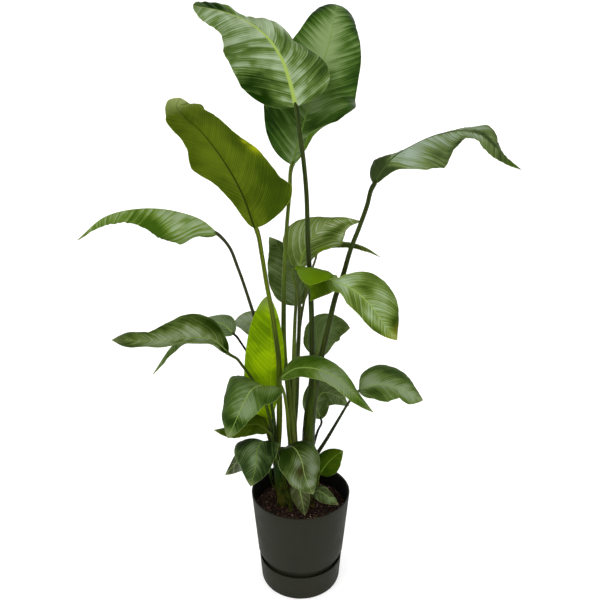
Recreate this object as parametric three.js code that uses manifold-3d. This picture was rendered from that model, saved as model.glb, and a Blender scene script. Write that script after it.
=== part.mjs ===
// A potted bird of paradise: a tall clump of paddle leaves on long leaf stalks,
// in a round planter that stands in a matching water base.
// Millimetres, +Z up, origin at the middle of the water base's underside.
import * as THREE from "three";
import { mergeVertices } from "three/addons/utils/BufferGeometryUtils.js";
import Module from "manifold-3d";

const wasm = await Module();
wasm.setup();

// Planter.
const RIM_RADIUS = 123;
const PLANTER_HEIGHT = 235;
const SKIRT_EDGE_RADIUS = 107.8;
const SKIRT_EDGE_HEIGHT = 80;
const WALL = 3;
const BASE_RADIUS = 100;
const BASE_RIM_RADIUS = 105;
const BASE_HEIGHT = 62;
const BASE_WALL = 2.6;
const FLOOR = 3;
const ROUND_SIDES = 48;

// Soil.
const SOIL_HEIGHT = 188;
const SOIL_UNEVEN = 3;
const STEM_DEPTH = 45;
const GAP = 0.3;

// Leaves and stalks.
const BLADE_THICK = 1.3;
const RIB_THICK = 4.5;
const STALK_SIDES = 6;
const SHEATH_SIDES = 10;
const DEG = Math.PI / 180;

const PLASTIC = "#33342c";
const SOIL = "#2e2219";
const STALK = "#42542f";
const PALE_STALK = "#6f8a35";
const GREEN = "#3f6b2f";
const DARK_GREEN = "#3d5a3a";
const OLIVE = "#5f7a1e";
const LIME = "#7fa30c";

const part = new THREE.Group();

function addMesh(name, geometry, colour, roughness) {
  const material = new THREE.MeshStandardMaterial({
    color: colour,
    roughness,
    metalness: 0,
  });
  const mesh = new THREE.Mesh(geometry, material);
  mesh.name = name;
  part.add(mesh);
}

// Curves

const vec = (p) => new THREE.Vector3(p[0], p[1], p[2]);

// A smooth curve through the points, spaced by the lengths of its chords.
function smoothCurve(points) {
  const at = [0];
  for (let i = 1; i < points.length; i++) {
    at.push(at[i - 1] + points[i].distanceTo(points[i - 1]));
  }
  const whole = at[at.length - 1];
  const s = at.map((x) => x / whole);
  const last = points.length - 1;
  const slope = points.map((p, i) => {
    if (i === 0 || i === last) {
      const a = i === 0 ? 0 : last - 1;
      return points[a + 1].clone().sub(points[a]).divideScalar(s[a + 1] - s[a]);
    }
    const before = s[i] - s[i - 1];
    const after = s[i + 1] - s[i];
    const d0 = p.clone().sub(points[i - 1]).divideScalar(before);
    const d1 = points[i + 1].clone().sub(p).divideScalar(after);
    return d0.multiplyScalar(after).add(d1.multiplyScalar(before)).divideScalar(before + after);
  });
  return (t) => {
    let i = 0;
    while (i < last - 1 && t >= s[i + 1]) i++;
    const h = s[i + 1] - s[i];
    const x = (t - s[i]) / h;
    const x2 = x * x;
    const x3 = x2 * x;
    return points[i].clone().multiplyScalar(2 * x3 - 3 * x2 + 1)
      .addScaledVector(slope[i], (x3 - 2 * x2 + x) * h)
      .addScaledVector(points[i + 1], 3 * x2 - 2 * x3)
      .addScaledVector(slope[i + 1], (x3 - x2) * h);
  };
}

function direction(curve, t) {
  const step = 0.001;
  const a = curve(Math.max(0, t - step));
  return curve(Math.min(1, t + step)).sub(a).normalize();
}

// The value between evenly spaced keys, each key a list of numbers.
function between(keys, t) {
  const x = t * (keys.length - 1);
  const i = Math.min(Math.floor(x), keys.length - 2);
  const f = x - i;
  return keys[i].map((a, k) => a * (1 - f) + keys[i + 1][k] * f);
}

// Solids

function toSolid(geometry) {
  const bare = geometry.clone();
  bare.deleteAttribute("normal");
  bare.deleteAttribute("uv");
  const merged = mergeVertices(bare, 1e-3);
  return new wasm.Manifold(new wasm.Mesh({
    numProp: 3,
    vertProperties: merged.attributes.position.array,
    triVerts: new Uint32Array(merged.index.array),
  }));
}

function toGeometry(solid) {
  const mesh = solid.getMesh();
  const geometry = new THREE.BufferGeometry();
  geometry.setAttribute("position", new THREE.BufferAttribute(new Float32Array(mesh.vertProperties), 3));
  geometry.setIndex(new THREE.BufferAttribute(new Uint32Array(mesh.triVerts), 1));
  return geometry.toNonIndexed();
}

function fromFaces(points, faces) {
  const geometry = new THREE.BufferGeometry();
  const places = points.flatMap((p) => [p.x, p.y, p.z]);
  geometry.setAttribute("position", new THREE.Float32BufferAttribute(places, 3));
  geometry.setIndex(faces.flat());
  return geometry;
}

// A solid of revolution about Z from a closed profile of [radius, height] pairs.
function turned(profile, sides) {
  const outline = profile.map(([r, z]) => new THREE.Vector2(r, z));
  const geometry = new THREE.LatheGeometry(outline, sides);
  geometry.rotateX(Math.PI / 2);
  return geometry;
}

// A round bar along a path, with a radius for each of its rings.
function bar(rings, radii, sides) {
  const points = [];
  const faces = [];
  const axes = rings.map((p, i) => {
    const a = rings[Math.max(0, i - 1)];
    const b = rings[Math.min(rings.length - 1, i + 1)];
    return b.clone().sub(a).normalize();
  });
  let across = new THREE.Vector3(1, 0, 0);
  rings.forEach((p, i) => {
    across = across.clone().addScaledVector(axes[i], -across.dot(axes[i])).normalize();
    const other = new THREE.Vector3().crossVectors(axes[i], across);
    for (let k = 0; k < sides; k++) {
      const turn = (2 * Math.PI * k) / sides;
      points.push(p.clone()
        .addScaledVector(across, radii[i] * Math.cos(turn))
        .addScaledVector(other, radii[i] * Math.sin(turn)));
    }
  });
  for (let i = 0; i + 1 < rings.length; i++) {
    for (let k = 0; k < sides; k++) {
      const a = i * sides + k;
      const b = i * sides + ((k + 1) % sides);
      faces.push([a, b, b + sides], [a, b + sides, a + sides]);
    }
  }
  const top = (rings.length - 1) * sides;
  for (let k = 1; k + 1 < sides; k++) {
    faces.push([0, k + 1, k], [top, top + k, top + k + 1]);
  }
  return fromFaces(points, faces);
}

// Leaf blades

// Half width along the blade: 0 at the stalk, 1 at the widest, 0 at the tip.
function outlineAt(t, blunt, point) {
  const widest = blunt / (blunt + point);
  const most = widest ** blunt * (1 - widest) ** point;
  return (Math.max(t, 1e-4) ** blunt * Math.max(1 - t, 1e-4) ** point) / most;
}

const ACROSS = [-1, -0.62, -0.14, 0, 0.14, 0.62, 1];
const ACROSS_ROLLED = [-1, -0.8, -0.6, -0.38, -0.14, 0, 0.14, 0.38, 0.6, 0.8, 1];

// A blade is two curved halves that rise or fall from the rib.
// Each half leaves the rib at its fold angle and bends on by its curl.
function blade(leaf) {
  const rows = leaf.rows ?? 12;
  const across = leaf.rolled ? ACROSS_ROLLED : ACROSS;
  const curve = smoothCurve(leaf.rib.map(vec));
  const face = leaf.face.map((f) => vec(f).normalize().toArray());
  const curl = leaf.curl ?? [[-20, -20], [-20, -20]];
  const reach = leaf.reach ?? [[1, 1], [1, 1]];
  const lean = leaf.lean ?? [[0, 0], [0, 0]];
  const blunt = leaf.blunt ?? 0.5;
  const point = leaf.point ?? 0.9;
  const [waveHigh, waveCount, waveStart] = leaf.wave ?? [0, 0, 0];
  const middle = [];
  for (let i = 0; i <= rows; i++) {
    const t = i / rows;
    const along = direction(curve, t);
    const up = vec(between(face, t));
    up.addScaledVector(along, -up.dot(along)).normalize();
    const right = new THREE.Vector3().crossVectors(along, up);
    const shape = outlineAt(t, blunt, point);
    const row = across.map((u) => {
      const side = u < 0 ? 0 : 1;
      const v = Math.abs(u);
      const least = t < 0.5 ? 3 : 1.2;
      const half = Math.max(leaf.half[side] * shape * between(reach, t)[side], least);
      const fold = between(leaf.fold, t)[side] * DEG;
      let bend = 2 * between(curl, t)[side] * DEG;
      if (Math.abs(bend) < 1e-4) bend = 1e-4;
      const out = (half * (Math.sin(fold + bend * v) - Math.sin(fold))) / bend;
      const ripple = Math.sin(2 * Math.PI * waveCount * t + waveStart + 1.7 * side);
      const wave = waveHigh * v * v * shape * ripple;
      const rise = (half * (Math.cos(fold) - Math.cos(fold + bend * v))) / bend + wave;
      const sweep = half * v * (0.25 - 0.15 * v + between(lean, t)[side]);
      return curve(t)
        .addScaledVector(right, Math.sign(u) * out)
        .addScaledVector(up, rise)
        .addScaledVector(along, sweep);
    });
    middle.push(row);
  }
  const wide = across.length;
  const centre = (wide - 1) / 2;
  const upper = [];
  const lower = [];
  for (let i = 0; i <= rows; i++) {
    for (let j = 0; j < wide; j++) {
      const ahead = middle[Math.min(rows, i + 1)][j].clone().sub(middle[Math.max(0, i - 1)][j]);
      const beside = middle[i][Math.min(wide - 1, j + 1)].clone().sub(middle[i][Math.max(0, j - 1)]);
      const out = beside.cross(ahead).normalize();
      const rib = j === centre ? RIB_THICK * (1 - 0.75 * (i / rows)) * (leaf.ribScale ?? 1) : 0;
      upper.push(middle[i][j].clone().addScaledVector(out, BLADE_THICK / 2));
      lower.push(middle[i][j].clone().addScaledVector(out, -BLADE_THICK / 2 - rib));
    }
  }
  const points = upper.concat(lower);
  const shift = upper.length;
  const faces = [];
  for (let i = 0; i < rows; i++) {
    for (let j = 0; j + 1 < wide; j++) {
      const a = i * wide + j;
      const b = a + 1;
      const c = a + wide + 1;
      const d = a + wide;
      faces.push([a, b, c], [a, c, d]);
      faces.push([a + shift, c + shift, b + shift], [a + shift, d + shift, c + shift]);
    }
  }
  const loop = [];
  for (let j = 0; j < wide - 1; j++) loop.push(j);
  for (let i = 0; i < rows; i++) loop.push(i * wide + wide - 1);
  for (let j = wide - 1; j > 0; j--) loop.push(rows * wide + j);
  for (let i = rows; i > 0; i--) loop.push(i * wide);
  loop.forEach((a, k) => {
    const b = loop[(k + 1) % loop.length];
    faces.push([a, a + shift, b + shift], [a, b + shift, b]);
  });
  return fromFaces(points, faces);
}

// rib: points of the midrib from the stalk to the tip.
// face: which way the upper side looks, at evenly spaced places along the rib.
// half: half widths left and right, seen from above with the tip away.
// fold, curl: how each half leaves the rib and bends on, in degrees.
// reach: the part of the half width kept at evenly spaced places.
// lean: how far the cross lines slant towards the tip there.
const LEAVES = {
  leaf_top_left: {
    rib: [[-10, -15, 1142], [-23, -6, 1193], [-41, 0, 1241], [-68, -4, 1278], [-105, -18, 1303],
      [-155, -50, 1313], [-203, -90, 1310]],
    face: [[0, -1, 0.15], [0.1, -0.95, 0.35], [0, -0.7, 0.7], [-0.1, -0.45, 0.85]],
    half: [112, 100],
    fold: [[10, 10], [8, 8], [5, 2], [2, -10], [0, -4], [-3, 4], [-8, 15], [-15, 25], [-20, 30]],
    curl: [[-15, -15], [-15, -20], [-20, -20], [-30, -5], [-30, 0]],
    reach: [[0.92, 1], [0.97, 1.03], [1, 1.06], [0.99, 1.05], [0.98, 0.95], [0.93, 0.85],
      [0.88, 0.74], [0.82, 0.77], [0.76, 0.7], [0.66, 0.49], [0.57, 0.33], [0.5, 0.32], [0.52, 0.44],
      [0.57, 0.52], [0.57, 0.59], [0.5, 0.65], [0.5, 0.8]],
    lean: [[0, 0], [0.2, 0], [0.5, 0], [1.1, 0], [1, 0]],
    blunt: 0.35,
    point: 0.7,
    wave: [4, 4, 0],
    rows: 18,
    colour: GREEN,
  },
  leaf_top_back: {
    rib: [[-19, 28, 1026], [10, 48, 1128], [39, 84, 1219], [67, 118, 1307], [80, 148, 1373],
      [89, 186, 1402], [98, 232, 1397]],
    face: [[0.1, -1, 0.1], [0.1, -0.9, 0.4], [0.3, -0.1, 1]],
    half: [108, 92],
    fold: [[8, 10], [10, 12], [8, 12], [0, 0]],
    curl: [[-20, 60], [-20, 65], [-20, 25], [-20, -20], [-20, -20], [-20, -20], [-20, -20], [-20, -20]],
    reach: [[1, 0.75], [1, 1.15], [1, 1.07], [0.88, 1.07], [1, 1.4]],
    lean: [[0, 0], [0, -0.4], [0, -0.1], [0, 0], [0, 0]],
    wave: [3, 3, 1],
    rows: 16,
    colour: GREEN,
  },
  leaf_upper_left: {
    rib: [[-94, -72, 893], [-118, -85, 965], [-154, -105, 1033], [-189, -135, 1081],
      [-214, -165, 1105], [-223, -182, 1120], [-213, -196, 1129]],
    face: [[0.6, 0.8, 0.1], [0.45, 0.8, 0.4], [0.2, 0.7, 0.7], [0, 0.3, 0.95]],
    half: [100, 84],
    fold: [[12, 22], [6, 10], [0, 0]],
    curl: [[-15, -25], [-10, -15], [-10, -10]],
    reach: [[1.15, 0.54], [1.45, 0.47], [1.54, 0.44], [1.48, 0.48], [1.19, 0.57], [1.05, 0.66],
      [0.95, 0.75], [0.88, 0.88], [0.81, 0.96], [0.75, 0.89], [0.72, 0.77], [0.7, 0.74], [0.74, 0.72],
      [0.86, 0.74], [1, 0.81], [1.42, 0.57], [1.4, 0.8]],
    blunt: 0.42,
    point: 0.6,
    wave: [3, 3, 0],
    rows: 16,
    colour: OLIVE,
  },
  leaf_far_left: {
    rib: [[-180, -40, 878], [-208, -45, 904], [-262, -50, 925], [-339, -60, 932], [-408, -75, 916],
      [-463, -90, 870]],
    face: [[0, -0.3, 1], [0, -0.3, 1], [-0.5, -0.3, 0.8]],
    half: [78, 75],
    fold: [[-25, -80], [-28, -40], [-30, -30], [-35, -30], [-38, -32], [-40, -35]],
    curl: [[-60, -30], [-40, -30], [-30, -30]],
    reach: [[0.6, 0.7], [0.98, 0.7], [1.06, 0.8], [1.03, 0.8], [0.86, 0.7], [0.57, 0.5], [0.5, 0.45],
      [0.45, 0.4], [0.32, 0.3], [0.3, 0.3], [0.5, 0.5]],
    wave: [4, 3, 2],
    rows: 16,
    colour: GREEN,
  },
  leaf_left_front: {
    rib: [[-161, -75, 619], [-191, -85, 652], [-239, -95, 659], [-300, -110, 657], [-392, -135, 667]],
    face: [[0, -0.5, 0.85], [0, -0.6, 0.8], [0, -0.5, 0.85]],
    half: [48, 72],
    fold: [[10, 40], [10, 24], [5, 5]],
    curl: [[30, -20], [30, -20], [10, -20]],
    reach: [[1, 0.4], [1, 0.45], [1, 0.78], [1, 0.85], [1, 0.86], [1, 0.78], [1, 0.68], [1, 0.51],
      [1.35, 0.83], [1.7, 1.22], [1.6, 1.3]],
    wave: [3, 3, 0],
    rows: 16,
    colour: DARK_GREEN,
  },
  leaf_left_back: {
    rib: [[-157, 4, 639], [-186, 14, 661], [-241, 26, 658], [-310, 24, 603], [-358, 16, 535]],
    face: [[-0.5, -0.5, 0.7], [-0.3, -0.4, 0.9], [-0.8, -0.3, 0.5]],
    half: [42, 42],
    fold: [[30, 10], [-10, -10], [-20, -20]],
    reach: [[1, 1], [1.1, 0.95], [1.04, 0.8], [0.56, 0.4], [0.54, 0.36], [0.75, 0.6]],
    rows: 10,
    colour: DARK_GREEN,
  },
  leaf_left_hidden: {
    rib: [[-80, 68, 612], [-96, 71, 633], [-118, 73, 646], [-142, 74, 650], [-168, 72, 646]],
    face: [[0.2, -1, 0.1], [0, -1, 0.3], [-0.1, -0.9, 0.5]],
    half: [34, 36],
    fold: [[20, 20], [5, 5], [0, 0]],
    curl: [[-20, -20], [-15, -15], [-10, -10]],
    ribScale: 0.7,
    rows: 10,
    colour: DARK_GREEN,
  },
  leaf_young_lime: {
    rib: [[-80, -13, 408], [-74, -17, 492], [-68, -16, 579], [-69, -10, 663], [-75, -2, 732]],
    face: [[0, -1, 0.1], [-0.1, -1, 0.1], [-0.2, -1, 0.2]],
    half: [62, 30],
    fold: [[40, 40], [12, 12], [10, 10]],
    curl: [[-20, -20], [-15, -15], [0, 0]],
    reach: [[1.1, 0.6], [1.1, 0.8], [1.05, 1], [1, 1], [0.9, 1]],
    blunt: 0.55,
    point: 0.6,
    colour: LIME,
  },
  leaf_low_left: {
    rib: [[-69, -72, 523], [-85, -98, 551], [-105, -122, 551], [-123, -142, 525], [-138, -160, 493],
      [-152, -174, 465]],
    face: [[0, 0.4, 0.9], [-0.3, -0.6, 0.7], [-0.4, -0.8, 0.4], [-0.4, -0.85, 0.3]],
    half: [72, 76],
    fold: [[20, 30], [5, 10], [0, 5], [0, 0]],
    curl: [[-25, -25], [-25, -25], [-20, -20]],
    reach: [[0.8, 0.8], [0.9, 1.1], [0.7, 1.08], [0.6, 1.2], [0.55, 1.04], [0.56, 1.2], [0.7, 1.04]],
    lean: [[0, 0], [0, -0.4], [0, -0.4], [0, 0], [0, 0]],
    wave: [2, 3, 0],
    colour: GREEN,
  },
  leaf_low_left_small: {
    rib: [[-79, -46, 366], [-89, -66, 400], [-99, -84, 391], [-102, -100, 358], [-113, -116, 316]],
    face: [[0, 0.7, 0.6], [-0.1, -0.7, 0.7], [-0.1, -1, 0.2]],
    half: [48, 66],
    fold: [[24, 30], [5, 5], [0, 0]],
    curl: [[-30, -30], [-25, -25], [-20, -20]],
    ribScale: 0.7,
    rows: 10,
    colour: DARK_GREEN,
  },
  leaf_low_front: {
    rib: [[-40, -40, 369], [-16, -62, 381], [1, -85, 364], [10, -105, 333], [28, -120, 299]],
    face: [[-0.2, 0.3, 0.9], [0.3, -0.7, 0.7], [0.2, -1, 0.2]],
    half: [56, 56],
    fold: [[30, 30], [8, 8], [0, 0]],
    curl: [[-30, -30], [-25, -25], [-20, -20]],
    ribScale: 0.7,
    rows: 10,
    colour: DARK_GREEN,
  },
  leaf_pot_front: {
    rib: [[-11, -25, 264], [-4, -45, 268], [3, -60, 243], [10, -75, 212]],
    face: [[0, -0.4, 1], [0, -0.8, 0.6], [0, -1, 0.2]],
    half: [24, 24],
    fold: [[20, 20], [5, 5], [0, 0]],
    ribScale: 0.4,
    rows: 8,
    colour: GREEN,
  },
  leaf_pot_right: {
    rib: [[28, -15, 232], [43, -25, 244], [67, -40, 238], [91, -55, 227]],
    face: [[0, -0.3, 1], [0.2, -0.5, 0.9], [0.3, -0.6, 0.7]],
    half: [22, 22],
    fold: [[20, 20], [5, 5], [0, 0]],
    ribScale: 0.4,
    rows: 8,
    colour: DARK_GREEN,
  },
  leaf_pot_bright: {
    rib: [[49, 15, 266], [64, 12, 293], [84, 8, 318], [106, 4, 337]],
    face: [[0, -0.8, 0.6], [-0.1, -0.8, 0.6], [0, -0.7, 0.7]],
    half: [32, 32],
    fold: [[20, 20], [5, 5], [0, 0]],
    ribScale: 0.4,
    rows: 8,
    colour: GREEN,
  },
  leaf_front_arch: {
    rib: [[-47, -52, 549], [-10, -68, 579], [32, -84, 585], [79, -105, 572], [121, -130, 538],
      [153, -148, 512]],
    face: [[0, -0.5, 0.9], [0.1, -0.65, 0.75], [0.5, -0.5, 0.7]],
    half: [42, 42],
    fold: [[20, 20], [12, 0], [-5, -5]],
    curl: [[-25, -30], [-25, -30], [-20, -20]],
    reach: [[1, 0.6], [1.05, 0.55], [0.92, 0.55], [0.78, 0.7], [1, 1]],
    colour: GREEN,
  },
  leaf_low_right: {
    rib: [[140, -10, 502], [158, -14, 514], [187, -22, 523], [225, -35, 520], [282, -55, 498]],
    face: [[0, -0.4, 1], [0.1, -0.5, 0.85], [0.3, -0.5, 0.8]],
    half: [66, 56],
    fold: [[25, 25], [14, 5], [0, 0]],
    reach: [[1, 1], [1.04, 0.82], [1.04, 0.82], [1.02, 0.78], [1.12, 0.52], [1.1, 1.05], [1.2, 1.2]],
    colour: DARK_GREEN,
  },
  leaf_mid_right: {
    rib: [[-8, -34, 802], [29, -54, 799], [70, -70, 780], [109, -84, 765], [147, -98, 733],
      [176, -110, 695], [203, -120, 662]],
    face: [[-0.2, -0.9, 0.1], [0.1, -0.9, 0.45], [0.2, -0.9, 0.4], [0.3, -0.9, 0.3]],
    half: [84, 54],
    fold: [[60, 10], [60, 10], [60, 10], [50, 10], [10, 10], [10, 8], [10, 5], [8, 5], [5, 3], [2, 0],
      [0, 0]],
    curl: [[65, -30], [65, -30], [65, -30], [60, -30], [-10, -25], [-20, -20], [-20, -20], [-20, -20],
      [-20, -20], [-20, -20], [-20, -20]],
    reach: [[0.5, 1.3], [0.7, 1.4], [0.9, 1.5], [1.05, 1.46], [1.15, 1.4], [1.05, 1.1], [0.6, 0.75],
      [0.15, 0.4], [0.33, 0.36], [0.55, 0.5], [0.78, 0.64], [0.88, 0.68], [0.98, 0.71], [1.06, 0.78],
      [1.14, 0.85], [1.22, 0.94], [1.3, 1.02], [1.36, 1.09], [1.41, 1.16], [1.3, 1.22], [1.2, 1.3]],
    rows: 16,
    rolled: true,
    colour: DARK_GREEN,
  },
  leaf_centre_back: {
    rib: [[-4, 58, 783], [6, 62, 821], [27, 64, 859], [58, 60, 893], [99, 50, 907], [142, 36, 900]],
    face: [[-0.1, -1, 0.2], [-0.2, -0.8, 0.5], [0.1, -0.6, 0.8]],
    half: [64, 64],
    fold: [[22, 22], [10, 10], [-20, -10]],
    curl: [[-20, -20], [-30, -30], [-30, -30]],
    reach: [[0.75, 0.3], [0.85, 0.5], [1.1, 0.5], [1.2, 0.6], [1.1, 0.85], [0.85, 1.1], [0.5, 1.2],
      [0.3, 1.3], [0.2, 1.12], [0.2, 0.8], [0.5, 0.5]],
    colour: DARK_GREEN,
  },
  leaf_dark_left_back: {
    rib: [[-2, 96, 688], [-17, 104, 738], [-34, 108, 788], [-54, 106, 831], [-77, 98, 859]],
    face: [[0, -1, 0.1], [0.1, -0.9, 0.4], [0.1, -0.8, 0.6]],
    half: [70, 40],
    fold: [[30, 30], [10, 10], [0, 0]],
    reach: [[1, 1], [0.86, 1], [0.82, 1], [0.8, 1], [0.9, 1]],
    rows: 10,
    colour: DARK_GREEN,
  },
  leaf_narrow_back: {
    rib: [[48, 112, 823], [81, 115, 840], [123, 117, 842], [163, 115, 830], [198, 112, 808]],
    face: [[0, -0.3, 1], [0.1, -0.3, 1], [0.4, -0.3, 0.8]],
    half: [19, 18],
    fold: [[20, 20], [0, 0], [-10, -10]],
    curl: [[-20, -20], [-30, -30], [-20, -20]],
    ribScale: 0.7,
    rows: 10,
    colour: DARK_GREEN,
  },
  leaf_dark_right_back: {
    rib: [[42, 98, 550], [50, 104, 581], [65, 104, 610], [90, 96, 628], [124, 82, 632]],
    face: [[-0.3, -0.9, 0.1], [-0.1, -0.85, 0.5], [0.2, -0.6, 0.8]],
    half: [54, 46],
    fold: [[16, 16], [5, 5], [0, 0]],
    reach: [[1, 0.8], [1, 0.68], [1.2, 0.76], [1.1, 1.05], [1.2, 1.2]],
    rows: 10,
    colour: DARK_GREEN,
  },
  leaf_torn_back: {
    rib: [[54, 92, 380], [44, 104, 420], [57, 104, 448], [90, 92, 448], [126, 78, 423]],
    face: [[-0.3, -0.9, 0.1], [-0.2, -0.8, 0.5], [0.3, -0.4, 0.8]],
    half: [45, 40],
    fold: [[20, 20], [5, 5], [0, 0]],
    ribScale: 0.7,
    rows: 10,
    colour: DARK_GREEN,
  },
  leaf_curled_left: {
    rib: [[-77, -48, 416], [-100, -55, 437], [-128, -68, 440], [-161, -80, 434], [-196, -90, 441]],
    face: [[0, -0.5, 0.85], [-0.1, -0.6, 0.8], [-0.3, -0.3, 0.9]],
    half: [26, 30],
    fold: [[20, 20], [5, 5], [0, 0]],
    ribScale: 0.6,
    rows: 10,
    colour: DARK_GREEN,
  },
  leaf_small_left: {
    rib: [[-94, -20, 339], [-117, -30, 353], [-146, -40, 337], [-181, -50, 304]],
    face: [[0, -0.5, 0.85], [-0.2, -0.6, 0.8], [-0.5, -0.5, 0.6]],
    half: [30, 30],
    fold: [[20, 20], [5, 5], [0, 0]],
    ribScale: 0.5,
    rows: 8,
    colour: DARK_GREEN,
  },
  leaf_top_right: {
    rib: [[159, -20, 984], [173, -21, 1007], [193, -23, 1034], [235, -30, 1062], [290, -40, 1085],
      [341, -47, 1090], [370, -55, 1081], [398, -64, 1057], [423, -72, 1033], [448, -80, 1012]],
    face: [[-0.5, -0.85, 0.1], [-0.3, -0.6, 0.7], [-0.1, -0.4, 0.9], [0, -0.45, 0.9], [0.4, -0.5, 0.8]],
    half: [80, 80],
    fold: [[20, 20], [20, 12], [0, 0], [-25, -5], [-25, -15], [-10, -75], [5, -40], [15, -25],
      [10, -20], [0, -20], [0, -20]],
    curl: [[-60, -30], [-60, -30], [-60, -30], [-60, -30], [-50, -30], [-40, 60], [-20, 40], [-10, 0],
      [-10, -20], [-10, -20], [-10, -20]],
    reach: [[1.4, 0.3], [1.2, 0.3], [0.5, 0.5], [0.5, 0.85], [0.5, 0.95], [0.6, 0.85], [0.85, 0.6],
      [0.95, 0.35], [0.5, 0.4], [0.35, 0.55], [0.5, 0.8]],
    wave: [5, 3, 0],
    rows: 18,
    rolled: true,
    colour: DARK_GREEN,
  },
};

for (const [name, leaf] of Object.entries(LEAVES)) {
  addMesh(name, blade(leaf), leaf.colour, 0.45);
}

// Shoots: the sheathed foot and its leaf stalks, grown as one

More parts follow.
